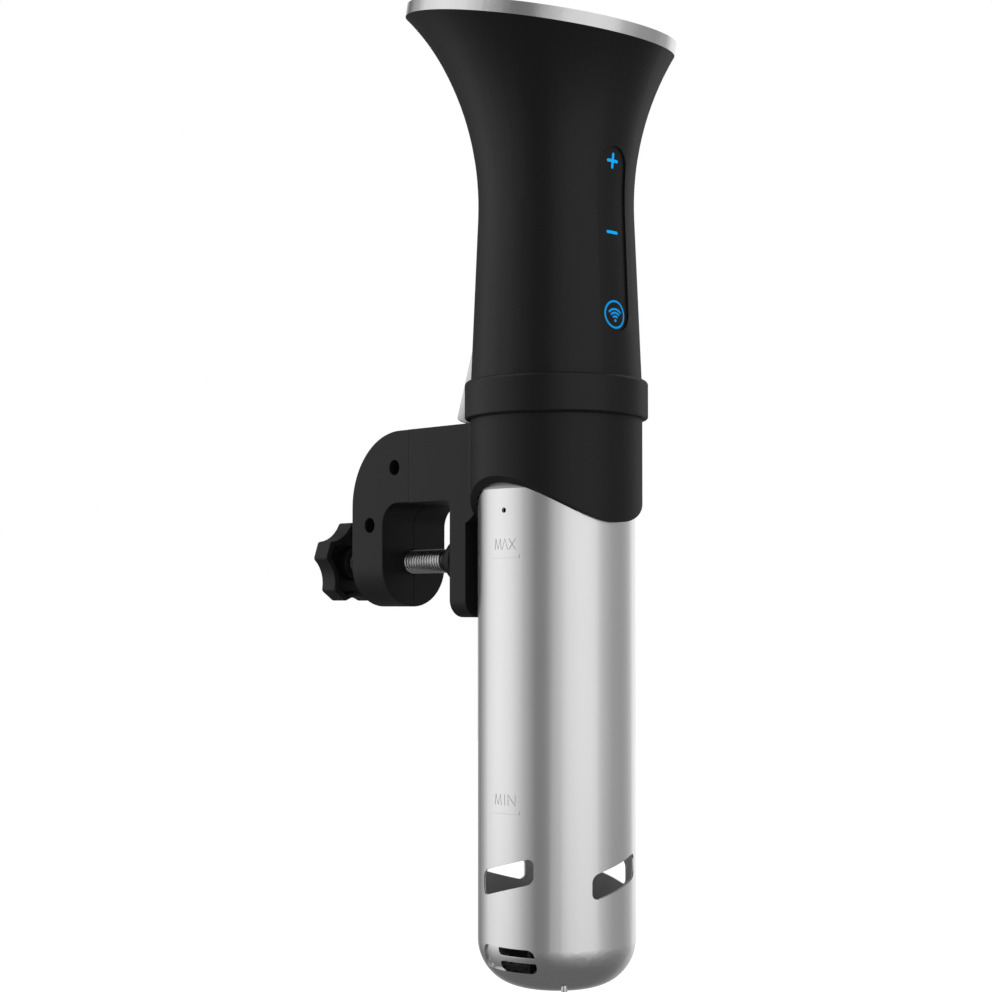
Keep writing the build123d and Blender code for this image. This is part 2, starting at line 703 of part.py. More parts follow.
def clamp_knob():
    outline = star(knob_lobe_radius, knob_lobe_half, knob_valley_radius, knob_corner)
    inner = star(knob_lobe_radius - knob_skin, knob_lobe_half - knob_skin / 2,
                 knob_valley_radius - knob_skin, knob_inner_corner)
    start = Plane(origin=(0, knob_inner_y, screw_axis_z), x_dir=(1, 0, 0), z_dir=(0, -1, 0))
    knob = extrude(start * outline, amount=-knob_thickness)
    outer_face = knob.faces().sort_by(Axis.Y)[-1]
    knob = fillet(outer_face.edges(), knob_edge_round)
    knob -= extrude(start * inner, amount=-knob_recess)
    knob += bar_y(knob_hub_radius, knob_inner_y, knob_inner_y + knob_recess + screw_seat, screw_axis_z)
    bottom_y = knob_inner_y + knob_recess + screw_seat + inlay_gap
    knob -= bar_y(thread_radius + inlay_gap, knob_inner_y - over, bottom_y, screw_axis_z)
    return knob


# ---------------------------------------------------------------- collar and head
def collar_ring():
    ring = tube(collar_radius, barrel_radius + seat_gap, sleeve_top_z, collar_top_z)
    ring = chamfer(outer_circles(ring)[:1], seam_chamfer)
    return fillet(outer_circles(ring)[-1:], collar_round)


def outer_circles(solid):
    """Circles of the largest radius, from the lowest to the highest."""
    return solid.edges().filter_by(GeomType.CIRCLE).group_by(SortBy.RADIUS)[-1].sort_by(Axis.Z)


def trumpet(inset, bottom):
    """Solid head shape about Z from a height upwards, its surface moved inwards by inset."""
    lean = radians(head_lean)
    low_angle = radians(flare_low_angle)
    top_angle = radians(flare_top_angle)
    low_radius = flare_low_radius + inset
    top_radius = flare_top_radius + inset
    # centres of the two hollow arcs, outside the head
    low_x = head_waist_radius + flare_low_radius * cos(lean)
    low_z = head_waist_z + flare_low_radius * sin(lean)
    top_x = low_x + (flare_top_radius - flare_low_radius) * cos(low_angle)
    top_z = low_z - (flare_top_radius - flare_low_radius) * sin(low_angle)
    start = (low_x - low_radius * cos(lean), low_z - low_radius * sin(lean))
    end = (top_x - top_radius * cos(top_angle), top_z + top_radius * sin(top_angle))
    foot = (start[0] + (start[1] - bottom) * tan(lean), bottom)
    far = (end[0] + flare_spare * sin(top_angle), end[1] + flare_spare * cos(top_angle))
    return turned(
        Line((0, bottom), foot),
        Line(foot, start),
        CenterArc((low_x, low_z), low_radius, 180 + head_lean, -head_lean - flare_low_angle),
        CenterArc((top_x, top_z), top_radius, 180 - flare_low_angle, flare_low_angle - flare_top_angle),
        Line(end, far),
        Line(far, (0, far[1])),
        Line((0, far[1]), (0, bottom)))


def rim_slab(inset, low, high):
    """Slab above the rim plane with the rim's outline moved inwards by inset."""
    outline = section(trumpet(inset, collar_top_z), section_by=rim_plane)
    face = outline.faces()[0]
    normal = Vector(*rim_plane.z_dir)
    if face.normal_at().dot(normal) < 0:
        face = -face
    face = face.moved(Location(normal * low))
    return Solid.extrude(face, normal * (high - low))


def above_rim():
    size = 2 * rim_axis_z
    return rim_plane * Pos(0, 0, size / 2) * Box(size, size, size)


def pocket_prism(margin, depth_from, depth_to):
    """Upright capsule prism behind the front, between two distances from the axis."""
    height = pocket_top_z - pocket_bottom_z + 2 * margin
    middle = (pocket_top_z + pocket_bottom_z) / 2
    capsule = SlotOverall(height, pocket_width + 2 * margin, rotation=90)
    place = Plane(origin=(0, -depth_from, middle), x_dir=(1, 0, 0), z_dir=(0, -1, 0))
    return extrude(place * capsule, amount=depth_to - depth_from)


def head_shell():
    outer = trumpet(0, collar_top_z)
    shell = outer - trumpet(head_wall, head_floor_top_z)
    far = head_waist_radius * 2
    shell += pocket_prism(pocket_margin, pocket_seat_y, far) & outer
    shell -= pocket_prism(0, pocket_seat_y, far) - trumpet(pocket_depth, collar_top_z)
    shell -= above_rim()
    shell -= cylinder(barrel_radius + seat_gap, collar_top_z - over, head_floor_top_z + over)
    shell -= bar_y(gland_plug_radius + seat_gap, 0, far, gland_plug_z)
    for sketch in (plus_sketch(inlay_gap), minus_sketch(inlay_gap)) + wireless_sketches(inlay_gap):
        shell -= inlay(sketch, inlay_gap)
    return shell


def plus_sketch(grow):
    long, short = symbol_size + 2 * grow, symbol_stroke + 2 * grow
    return Pos(0, plus_z) * (SlotOverall(long, short) + SlotOverall(long, short, rotation=90))


def minus_sketch(grow):
    return Pos(0, minus_z) * SlotOverall(symbol_size + 2 * grow, symbol_stroke + 2 * grow)


def wireless_sketches(grow):
    """A ring, three arcs and a dot."""
    half = wireless_stroke / 2 + grow
    place = Pos(0, wireless_z)
    ring = Circle(wireless_ring_radius - wireless_stroke / 2 + half)
    ring -= Circle(wireless_ring_radius - wireless_stroke / 2 - half)
    marks = [place * ring]
    place *= Pos(0, -wireless_dot_drop)
    marks.append(place * Circle(wireless_dot_radius + grow))
    for radius in wireless_arcs:
        band = Circle(radius + half) - Circle(radius - half)
        reach = 2 * wireless_ring_radius
        spread = wireless_half_angle + degrees(grow / radius)
        left, right = polar(reach, 90 + spread), polar(reach, 90 - spread)
        wedge = make_face(Polyline((0, 0), right, left, close=True))
        marks.append(place * (band & wedge))
    return tuple(marks)


def inlay(sketch, extra=0.0):
    """Mark let into the pocket's floor, flush with it."""
    place = Plane(origin=(0, -pocket_seat_y, 0), x_dir=(1, 0, 0), z_dir=(0, -1, 0))
    prism = extrude(place * sketch, amount=head_waist_radius)
    layer = trumpet(pocket_depth, collar_top_z) - trumpet(pocket_depth + inlay_depth + extra, collar_top_z)
    return prism & layer


def top_bezel():
    ring = rim_slab(0, 0, bezel_height) - rim_slab(bezel_width, 0, bezel_height)
    seat = rim_slab(lens_border, bezel_height - lens_thickness, bezel_height)
    return ring - seat


def display_lens():
    return rim_slab(lens_border + inlay_gap, bezel_height - lens_thickness + display_gap / 2, bezel_height)


def cord_gland():
    """Tapered boot beside the head's back, with its plug through the wall."""
    root = Vector(0, *gland_root)
    tip = Vector(0, *gland_tip)
    along = (tip - root).normalized()
    length = (tip - root).length
    start = root - along * gland_lead
    plane = Plane(origin=start, x_dir=(1, 0, 0), z_dir=along)
    full = length + gland_lead
    boot = plane * Pos(0, 0, full / 2) * Cone(gland_root_radius, gland_tip_radius, full)
    boot -= trumpet(-seat_gap, collar_top_z)
    inner_y = sqrt((head_waist_radius - head_wall) ** 2 - gland_flange_radius ** 2) - gland_flange
    gland = boot + bar_y(gland_plug_radius, inner_y, head_waist_radius + over, gland_plug_z)
    gland += bar_y(gland_flange_radius, inner_y, inner_y + gland_flange, gland_plug_z)
    end = Plane(origin=tip, x_dir=(1, 0, 0), z_dir=-along)
    return gland - end * Pos(0, 0, gland_bore_depth / 2) * Cylinder(gland_bore_radius, gland_bore_depth)


# ---------------------------------------------------------------- heater and sensors
def heater_element():
    """One tube with four legs: down, up, down and up again round the shaft."""
    legs = heater_legs()
    top = floor_top_z + ferrule_length
    points = [(*legs[0], top), (*legs[0], heater_bottom_z), (*legs[1], heater_bottom_z),
              (*legs[1], heater_top_z), (*legs[2], heater_top_z), (*legs[2], heater_bottom_z),
              (*legs[3], heater_bottom_z), (*legs[3], top)]
    bend = heater_circle_radius * sin(radians(45)) - heater_bend_slack
    path = FilletPolyline(*points, radius=bend)
    start = Plane(origin=points[0], z_dir=(0, 0, -1))
    return sweep(start * Circle(heater_tube_radius), path=path)


def heater_ferrules():
    legs = heater_legs()
    low = barrel_bottom_z - ferrule_drop
    return [tube(ferrule_radius, heater_tube_radius + inlay_gap, low, low + ferrule_length, *legs[index])
            for index in (0, 3)]


def temperature_probe():
    x, y = polar(probe_circle_radius, -90)
    probe = cylinder(probe_radius, probe_bottom_z, floor_top_z + sensor_head, x, y)
    probe += Pos(x, y, probe_bottom_z) * Sphere(probe_radius)
    return probe + cylinder(probe_radius + sensor_collar, floor_top_z, floor_top_z + sensor_head, x, y)


def level_pins():
    top = floor_top_z + sensor_head
    return [cylinder(level_radius, minimum_level, top, x, y) for x, y in level_places()]


# ---------------------------------------------------------------- pump
def shaft_tube():
    return tube(shaft_tube_radius, shaft_tube_radius - shaft_tube_wall, shaft_tube_bottom_z, floor_top_z)


def shaft_bush(z_low):
    outer = shaft_tube_radius - shaft_tube_wall - inlay_gap
    return tube(outer, shaft_radius + bearing_gap, z_low, z_low + bush_length)


def shaft_seal():
    return tube(shaft_seal_radius, shaft_radius + bearing_gap, floor_top_z, floor_top_z + shaft_seal_height)


def pump_plate():
    top = pump_plate_z + pump_plate_thickness
    plate = cylinder(pump_plate_radius, pump_plate_z, top)
    plate -= tube(pump_inlet_outer, pump_inlet_inner, pump_plate_z - over, top + over)
    for index in range(pump_spokes):
        spoke = block(pump_inlet_inner - pump_spoke_lap, pump_inlet_outer + pump_spoke_lap,
                      -pump_spoke_width / 2, pump_spoke_width / 2, pump_plate_z, top)
        plate += Rot(0, 0, 90 + index * 360 / pump_spokes) * spoke
    hub_top = shaft_tube_bottom_z + pump_hub_height
    plate += cylinder(pump_hub_radius, shaft_tube_bottom_z, hub_top)
    return plate - cylinder(shaft_tube_radius + inlay_gap, shaft_tube_bottom_z - over, hub_top + over)


def impeller():
    top = impeller_top_z
    wheel = cylinder(impeller_radius, top - impeller_disc, top)
    wheel += cylinder(impeller_hub_radius, impeller_bottom_z, top)
    blade = block(0, impeller_radius, blade_offset - blade_thickness / 2,
                  blade_offset + blade_thickness / 2, impeller_bottom_z, top - impeller_disc / 2)
    for index in range(impeller_blades):
        wheel += Rot(0, 0, index * 360 / impeller_blades) * blade
    limit = cylinder(impeller_radius, impeller_bottom_z, top)
    return (wheel & limit) - cylinder(shaft_radius + inlay_gap / 2, impeller_bottom_z - over, top + over)


def impeller_nut():
    hexagon = extrude(RegularPolygon(nut_radius, 6), amount=nut_height)
    nut = Pos(0, 0, impeller_bottom_z - nut_height) * hexagon
    return nut - cylinder(shaft_radius + inlay_gap / 2, dome_bottom_z, impeller_bottom_z + over)


def impeller_shaft():
    return cylinder(shaft_radius, shaft_bottom_z, shaft_top_z)


def shaft_coupling():
    body = cylinder(coupling_radius, coupling_bottom_z, coupling_top_z)
    body -= cylinder(shaft_radius + inlay_gap / 2, coupling_bottom_z - over, coupling_middle_z)
    return body - cylinder(motor_shaft_radius + inlay_gap / 2, coupling_bottom_z, coupling_top_z + over)


# ---------------------------------------------------------------- motor
def motor_plate_piece():
    plate = cylinder(motor_plate_radius, barrel_top_z, motor_bottom_z)
    plate -= cylinder(motor_pilot_radius + seat_gap, barrel_top_z - over, motor_bottom_z + over)
    for x, y in boss_places():
        plate -= cylinder(plate_screw_radius + seat_gap, barrel_top_z - over, motor_bottom_z + over, x, y)
    return plate


def plate_screws():
    screws = []
    for x, y in boss_places():
        low = motor_bottom_z - plate_screw_length
        shank = cylinder(plate_screw_radius - inlay_gap, low, motor_bottom_z, x, y)
        top = motor_bottom_z + plate_screw_head_height
        head = cylinder(plate_screw_head, motor_bottom_z, top, x, y)
        socket = cylinder(plate_screw_head / 2, top - plate_screw_head_height / 2, top + over, x, y)
        screws.append(shank + head - socket)
    return screws


def motor_can():
    can = cylinder(motor_radius, motor_bottom_z, motor_top_z)
    can -= cylinder(motor_radius - motor_wall, motor_bottom_z + motor_wall, motor_top_z + over)
    can += cylinder(motor_pilot_radius, barrel_top_z, motor_bottom_z + motor_wall)
    return can - cylinder(motor_shaft_radius + bearing_gap, barrel_top_z - over, motor_top_z)


def motor_cap_piece():
    return tube(motor_radius, motor_shaft_radius + bearing_gap, motor_top_z, cap_top_z)


def motor_magnets():
    outer = motor_radius - motor_wall - inlay_gap
    low = (motor_bottom_z + motor_top_z - magnet_length) / 2
    ring = tube(outer, outer - magnet_thickness, low, low + magnet_length)
    reach = motor_radius * 4
    x, y = polar(reach, magnet_angle / 2)
    wedge = extrude(make_face(Polyline((0, 0), (x, -y), (reach, -y), (reach, y), (x, y), close=True)),
                    amount=magnet_length)
    magnets = []
    for angle in (0, 180):
        magnets.append((ring & (Pos(0, 0, low) * Rot(0, 0, angle) * wedge)).solids()[0])
    return magnets


def motor_rotor():
    """Armature: shaft and three-pole stack, in one piece."""
    rotor = cylinder(motor_shaft_radius, motor_shaft_bottom_z, cap_top_z + motor_shaft_end)
    low = (motor_bottom_z + motor_top_z - rotor_length) / 2
    stack = cylinder(rotor_radius, low, low + rotor_length)
    for index in range(rotor_poles):
        x, y = polar(rotor_radius - rotor_slot_inset, 60 + index * 360 / rotor_poles)
        stack -= cylinder(rotor_slot_radius, low - over, low + rotor_length + over, x, y)
    return rotor + stack


# ---------------------------------------------------------------- boards and what is on them
def main_board():
    half = main_board_width / 2
    return block(-half, half, main_board_y, main_board_y + board_thickness,
                 motor_bottom_z, motor_bottom_z + main_board_height)


def power_transformer():
    width, depth, height = transformer_size
    core = block(transformer_x - width / 2, transformer_x + width / 2, main_board_y - depth, main_board_y,
                 transformer_z, transformer_z + height)
    return chamfer(core.edges().filter_by(Axis.Z), transformer_chamfer)


def board_capacitor():
    return bar_y(capacitor_radius, main_board_y - capacitor_length, main_board_y, capacitor_z, capacitor_x)


def power_triac():
    width, depth, height = triac_size
    return block(-width / 2, width / 2, main_board_y - depth, main_board_y, triac_z, triac_z + height)


def heat_sink():
    width, depth, height = sink_size
    back = main_board_y - triac_size[1]
    sink = block(-width / 2, width / 2, back - sink_base, back, triac_z, triac_z + height)
    pitch = (width - sink_fin) / (sink_fins - 1)
    for index in range(sink_fins):
        x = -width / 2 + index * pitch
        sink += block(x, x + sink_fin, back - depth, back - sink_base, triac_z, triac_z + height)
    return sink


def touch_board():
    half = touch_board_width / 2
    return block(-half, half, -pocket_seat_y, -pocket_seat_y + board_thickness,
                 pocket_bottom_z + touch_board_margin, pocket_top_z - touch_board_margin)


def display_module():
    top = bezel_height - lens_thickness
    place = rim_plane * Pos(0, display_centre, top - display_thickness / 2)
    return place * Box(display_width, display_depth, display_thickness)


def display_board():
    top = bezel_height - lens_thickness - display_thickness - display_gap
    return rim_plane * Pos(0, display_centre, top - board_thickness / 2) * Cylinder(
        display_board_radius, board_thickness)


# ---------------------------------------------------------------- all nodes
nodes = {
    "head_shell": head_shell, "top_bezel": top_bezel, "display_lens": display_lens,
    "display_module": display_module, "display_board": display_board, "touch_board": touch_board,
    "plus_symbol": lambda: inlay(plus_sketch(0)), "minus_symbol": lambda: inlay(minus_sketch(0)),
    "wireless_symbol": lambda: [inlay(sketch) for sketch in wireless_sketches(0)],
    "collar_ring": collar_ring, "core_housing": core_housing, "skirt_seal": skirt_seal,
    "clamp_sleeve": clamp_sleeve, "clamp_hook_left": lambda: hook_half(-1),
    "clamp_hook_right": lambda: hook_half(1), "hook_screws": hook_screws, "thread_insert": thread_insert,
    "clamp_screw": clamp_screw, "clamp_knob": clamp_knob, "pressure_pad": pressure_pad,
    "pad_clip": pad_clip, "steel_skirt": steel_skirt, "outlet_grilles": outlet_grilles,
    "skirt_feet": skirt_feet, "cord_gland": cord_gland, "heater_element": heater_element,
    "heater_ferrules": heater_ferrules, "temperature_probe": temperature_probe, "level_pins": level_pins,
    "shaft_tube": shaft_tube, "shaft_bush_lower": lambda: shaft_bush(shaft_tube_bottom_z),
    "shaft_bush_upper": lambda: shaft_bush(floor_top_z - bush_length), "shaft_seal": shaft_seal,
    "pump_plate": pump_plate, "impeller": impeller, "impeller_nut": impeller_nut,
    "impeller_shaft": impeller_shaft, "shaft_coupling": shaft_coupling, "motor_plate": motor_plate_piece,
    "plate_screws": plate_screws, "motor_can": motor_can, "motor_cap": motor_cap_piece,
    "motor_magnets": motor_magnets, "motor_rotor": motor_rotor, "main_board": main_board,
    "power_transformer": power_transformer, "board_capacitor": board_capacitor,
    "power_triac": power_triac, "heat_sink": heat_sink,
}

for name, make in nodes.items():
    piece = make()
    if isinstance(piece, list):
        solids = [solid for item in piece for solid in item.solids()]
    else:
        solids = piece.solids()
    shape = solids[0] if len(solids) == 1 else Compound(children=solids)
    export_step(shape, f"parts/{name}.step")
    print(name, len(solids))
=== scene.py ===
import json
from math import atan2, cos, pi, radians, sin, sqrt, tan
import bpy
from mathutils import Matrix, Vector

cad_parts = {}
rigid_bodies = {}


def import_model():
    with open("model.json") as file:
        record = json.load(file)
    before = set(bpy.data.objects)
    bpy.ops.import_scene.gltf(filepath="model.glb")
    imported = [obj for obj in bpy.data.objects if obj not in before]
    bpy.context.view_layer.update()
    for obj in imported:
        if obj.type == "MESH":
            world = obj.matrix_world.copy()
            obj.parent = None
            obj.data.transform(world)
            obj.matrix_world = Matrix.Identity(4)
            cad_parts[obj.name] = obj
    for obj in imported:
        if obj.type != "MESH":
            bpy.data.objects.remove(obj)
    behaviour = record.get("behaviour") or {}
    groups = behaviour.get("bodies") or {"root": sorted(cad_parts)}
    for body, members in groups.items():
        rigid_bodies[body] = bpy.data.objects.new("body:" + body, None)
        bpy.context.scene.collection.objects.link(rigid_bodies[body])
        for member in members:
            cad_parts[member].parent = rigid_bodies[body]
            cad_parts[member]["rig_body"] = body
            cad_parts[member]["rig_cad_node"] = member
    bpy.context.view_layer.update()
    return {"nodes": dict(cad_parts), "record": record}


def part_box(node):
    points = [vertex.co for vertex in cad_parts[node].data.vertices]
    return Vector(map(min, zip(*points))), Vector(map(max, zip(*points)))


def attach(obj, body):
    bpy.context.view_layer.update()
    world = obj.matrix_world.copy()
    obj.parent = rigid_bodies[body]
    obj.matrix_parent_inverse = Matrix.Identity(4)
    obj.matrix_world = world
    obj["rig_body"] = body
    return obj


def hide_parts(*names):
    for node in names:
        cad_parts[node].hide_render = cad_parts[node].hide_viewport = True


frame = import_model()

# Sous vide circulator.  Metres, +Z up, origin on the skirt's axis at the dome's bottom.
nodes = frame["nodes"]
mm = 0.001

# camera, world and floor
camera = {
    "place": (-0.50342, -0.50293, 0.14317),
    "turn": -43.173,         # degrees from looking along +Y
    "tiltUp": 1.533,
    "lens": 67.683,
    "shiftUp": 0.06,
}
studio = {
    "floorHeight": -0.30,
    "floorSize": 8.0,
    "level": 0.8,            # diffuse light from all round
    # what shiny surfaces see: (degrees anticlockwise from +X, brightness)
    "panorama": [(-180, 0.42), (-162, 0.20), (-150, 0.22), (-136, 0.55), (-116, 0.86), (-96, 0.92),
                 (-78, 0.86), (-62, 0.50), (-45, 0.36), (-25, 0.34), (-8, 0.45), (12, 0.95), (30, 1.0),
                 (55, 0.75), (74, 0.16), (92, 0.45), (112, 0.90), (132, 1.0), (152, 0.92), (168, 0.70)],
    "below": 0.135,          # brightness that they see below
    "fadeFrom": -0.13,       # upward part of the direction where it starts to show
    "fadeTo": -0.82,
    "floorGlow": 0.42,       # only for the camera
}


def makeCamera(values):
    data = bpy.data.cameras.new("camera")
    data.lens = values["lens"]
    data.sensor_width = 36
    data.shift_y = values["shiftUp"]
    data.clip_start = 0.01
    data.clip_end = 50
    made = bpy.data.objects.new("camera", data)
    made.location = values["place"]
    made.rotation_euler = (radians(90 + values["tiltUp"]), 0, radians(values["turn"]))
    bpy.context.scene.collection.objects.link(made)
    bpy.context.scene.camera = made


def addNode(tree, kind, values=None, **settings):
    node = tree.nodes.new(kind)
    for key, value in settings.items():
        setattr(node, key, value)
    for key, value in (values or {}).items():
        node.inputs[key].default_value = value
    return node


def makeWorld(values):
    world = bpy.data.worlds.new("studio")
    bpy.context.scene.world = world
    world.use_nodes = True
    tree = world.node_tree
    tree.nodes.clear()
    link = tree.links.new
    place = addNode(tree, "ShaderNodeTexCoord")
    split = addNode(tree, "ShaderNodeSeparateXYZ")
    link(place.outputs["Generated"], split.inputs[0])
    turn = addNode(tree, "ShaderNodeMath", operation="ARCTAN2")
    link(split.outputs["Y"], turn.inputs[0])
    link(split.outputs["X"], turn.inputs[1])
    share = addNode(tree, "ShaderNodeMapRange", {"From Min": -pi, "From Max": pi})
    link(turn.outputs[0], share.inputs["Value"])
    ramp = addNode(tree, "ShaderNodeValToRGB")
    stops = ramp.color_ramp.elements
    for angle, bright in values["panorama"]:
        stop = stops.new((angle + 180) / 360)
        stop.color = (bright, bright, bright, 1)
    stops.remove(stops[0])
    first = values["panorama"][0][1]
    stops[-1].color = (first, first, first, 1)
    ramp.color_ramp.interpolation = "EASE"
    link(share.outputs[0], ramp.inputs[0])
    fade = addNode(tree, "ShaderNodeMapRange", {"From Min": values["fadeTo"], "From Max": values["fadeFrom"]})
    link(split.outputs["Z"], fade.inputs["Value"])
    soon = addNode(tree, "ShaderNodeMath", {1: 2.0}, operation="POWER")
    link(fade.outputs[0], soon.inputs[0])
    shiny = addNode(tree, "ShaderNodeMix", {"A": values["below"]}, data_type="FLOAT")
    link(soon.outputs[0], shiny.inputs["Factor"])
    link(ramp.outputs[0], shiny.inputs["B"])
    rays = addNode(tree, "ShaderNodeLightPath")
    plain = addNode(tree, "ShaderNodeMix", {"A": values["level"]}, data_type="FLOAT")
    link(rays.outputs["Is Glossy Ray"], plain.inputs["Factor"])
    link(shiny.outputs[0], plain.inputs["B"])
    seen = addNode(tree, "ShaderNodeMath", operation="MAXIMUM")
    link(rays.outputs["Is Camera Ray"], seen.inputs[0])
    link(rays.outputs["Is Transmission Ray"], seen.inputs[1])
    white = addNode(tree, "ShaderNodeMix", {"B": 1.0}, data_type="FLOAT")
    link(seen.outputs[0], white.inputs["Factor"])
    link(plain.outputs[0], white.inputs["A"])
    sky = addNode(tree, "ShaderNodeBackground", {"Color": (1, 1, 1, 1)})
    link(white.outputs[0], sky.inputs["Strength"])
    out = addNode(tree, "ShaderNodeOutputWorld")
    link(sky.outputs[0], out.inputs[0])


def makeFloor(values):
    bpy.ops.object.select_all(action="DESELECT")
    bpy.ops.mesh.primitive_plane_add(size=values["floorSize"], location=(0, 0, values["floorHeight"]))
    floor = bpy.context.active_object
    floor.name = "floor"
    floor.visible_glossy = False
    material = bpy.data.materials.new("paleFloor")
    material.use_nodes = True
    tree = material.node_tree
    shader = tree.nodes["Principled BSDF"]
    shader.inputs["Base Color"].default_value = (0.9, 0.9, 0.9, 1)
    shader.inputs["Roughness"].default_value = 0.9
    shader.inputs["Specular IOR Level"].default_value = 0
    shader.inputs["Emission Color"].default_value = (1, 1, 1, 1)
    rays = addNode(tree, "ShaderNodeLightPath")
    glow = addNode(tree, "ShaderNodeMath", {1: values["floorGlow"]}, operation="MULTIPLY")
    tree.links.new(rays.outputs["Is Camera Ray"], glow.inputs[0])
    tree.links.new(glow.outputs[0], shader.inputs["Emission Strength"])
    floor.data.materials.append(material)


makeCamera(camera)
makeWorld(studio)
makeFloor(studio)
bpy.context.scene.view_settings.view_transform = "Standard"
print("camera, world and floor made")


# shared effects as node groups
def newGroup(name, inputs, outputs):
    group = bpy.data.node_groups.new(name, "ShaderNodeTree")
    for label, kind, value in inputs:
        socket = group.interface.new_socket(name=label, in_out="INPUT", socket_type=kind)
        socket.default_value = value
    for label, kind in outputs:
        group.interface.new_socket(name=label, in_out="OUTPUT", socket_type=kind)
    start = group.nodes.new("NodeGroupInput")
    end = group.nodes.new("NodeGroupOutput")
    return group, start, end


def makeMouldedGrain():
    group, start, end = newGroup("mouldedGrain", [
        ("Color", "NodeSocketColor", (0.03, 0.03, 0.03, 1)), ("Grain Scale", "NodeSocketFloat", 2500.0),
        ("Roughness", "NodeSocketFloat", 0.4), ("Roughness Spread", "NodeSocketFloat", 0.08),
        ("Color Spread", "NodeSocketFloat", 0.1), ("Height", "NodeSocketFloat", 1.0)],
        [("Color", "NodeSocketColor"), ("Roughness", "NodeSocketFloat"), ("Height", "NodeSocketFloat")])
    link = group.links.new
    place = addNode(group, "ShaderNodeTexCoord")
    fine = addNode(group, "ShaderNodeTexNoise", {"Detail": 3.0, "Roughness": 0.6})
    link(place.outputs["Object"], fine.inputs["Vector"])
    link(start.outputs["Grain Scale"], fine.inputs["Scale"])
    patches = addNode(group, "ShaderNodeTexNoise", {"Scale": 28.0, "Detail": 4.0, "Roughness": 0.55})
    link(place.outputs["Object"], patches.inputs["Vector"])
    centred = addNode(group, "ShaderNodeMath", {1: 0.5}, operation="SUBTRACT")
    link(patches.outputs["Fac"], centred.inputs[0])
    fineCentred = addNode(group, "ShaderNodeMath", {1: 0.5}, operation="SUBTRACT")
    link(fine.outputs["Fac"], fineCentred.inputs[0])
    both = addNode(group, "ShaderNodeMath", operation="ADD")
    link(centred.outputs[0], both.inputs[0])
    link(fineCentred.outputs[0], both.inputs[1])
    rough = addNode(group, "ShaderNodeMath", operation="MULTIPLY_ADD")
    link(both.outputs[0], rough.inputs[0])
    link(start.outputs["Roughness Spread"], rough.inputs[1])
    link(start.outputs["Roughness"], rough.inputs[2])
    shade = addNode(group, "ShaderNodeMath", {2: 1.0}, operation="MULTIPLY_ADD")
    link(centred.outputs[0], shade.inputs[0])
    link(start.outputs["Color Spread"], shade.inputs[1])
    tint = addNode(group, "ShaderNodeMix", {"Factor": 1.0}, data_type="RGBA", blend_type="MULTIPLY")
    link(start.outputs["Color"], tint.inputs["A"])
    link(shade.outputs[0], tint.inputs["B"])
    height = addNode(group, "ShaderNodeMath", operation="MULTIPLY")
    link(fine.outputs["Fac"], height.inputs[0])
    link(start.outputs["Height"], height.inputs[1])
    link(tint.outputs["Result"], end.inputs["Color"])
    link(rough.outputs[0], end.inputs["Roughness"])
    link(height.outputs[0], end.inputs["Height"])
    return group


def makeMetalGrain():
    group, start, end = newGroup("metalGrain", [
        ("Color", "NodeSocketColor", (0.7, 0.7, 0.7, 1)), ("Stretch", "NodeSocketVector", (1.0, 1.0, 0.02)),
        ("Grain Scale", "NodeSocketFloat", 3000.0), ("Roughness", "NodeSocketFloat", 0.25),
        ("Roughness Spread", "NodeSocketFloat", 0.06), ("Color Spread", "NodeSocketFloat", 0.04)],
        [("Color", "NodeSocketColor"), ("Roughness", "NodeSocketFloat"), ("Height", "NodeSocketFloat")])
    link = group.links.new
    place = addNode(group, "ShaderNodeTexCoord")
    stretch = addNode(group, "ShaderNodeVectorMath", operation="MULTIPLY")
    link(place.outputs["Object"], stretch.inputs[0])
    link(start.outputs["Stretch"], stretch.inputs[1])
    lines = addNode(group, "ShaderNodeTexNoise", {"Detail": 4.0, "Roughness": 0.65})
    link(stretch.outputs[0], lines.inputs["Vector"])
    link(start.outputs["Grain Scale"], lines.inputs["Scale"])
    patches = addNode(group, "ShaderNodeTexNoise", {"Scale": 22.0, "Detail": 3.0})
    link(place.outputs["Object"], patches.inputs["Vector"])
    both = addNode(group, "ShaderNodeMath", operation="ADD")
    link(lines.outputs["Fac"], both.inputs[0])
    link(patches.outputs["Fac"], both.inputs[1])
    centred = addNode(group, "ShaderNodeMath", {1: 1.0}, operation="SUBTRACT")
    link(both.outputs[0], centred.inputs[0])
    rough = addNode(group, "ShaderNodeMath", operation="MULTIPLY_ADD")
    link(centred.outputs[0], rough.inputs[0])
    link(start.outputs["Roughness Spread"], rough.inputs[1])
    link(start.outputs["Roughness"], rough.inputs[2])
    shade = addNode(group, "ShaderNodeMath", {2: 1.0}, operation="MULTIPLY_ADD")
    link(centred.outputs[0], shade.inputs[0])
    link(start.outputs["Color Spread"], shade.inputs[1])
    tint = addNode(group, "ShaderNodeMix", {"Factor": 1.0}, data_type="RGBA", blend_type="MULTIPLY")
    link(start.outputs["Color"], tint.inputs["A"])
    link(shade.outputs[0], tint.inputs["B"])
    link(tint.outputs["Result"], end.inputs["Color"])
    link(rough.outputs[0], end.inputs["Roughness"])
    link(lines.outputs["Fac"], end.inputs["Height"])
    return group


mouldedGrain = makeMouldedGrain()
metalGrain = makeMetalGrain()


# materials
def startMaterial(name):
    material = bpy.data.materials.new(name)
    material.use_nodes = True
    shader = material.node_tree.nodes["Principled BSDF"]
    return material, material.node_tree, shader


def placeGroup(tree, group, values):
    node = tree.nodes.new("ShaderNodeGroup")
    node.node_tree = group
    for key, value in values.items():
        node.inputs[key].default_value = value
    return node


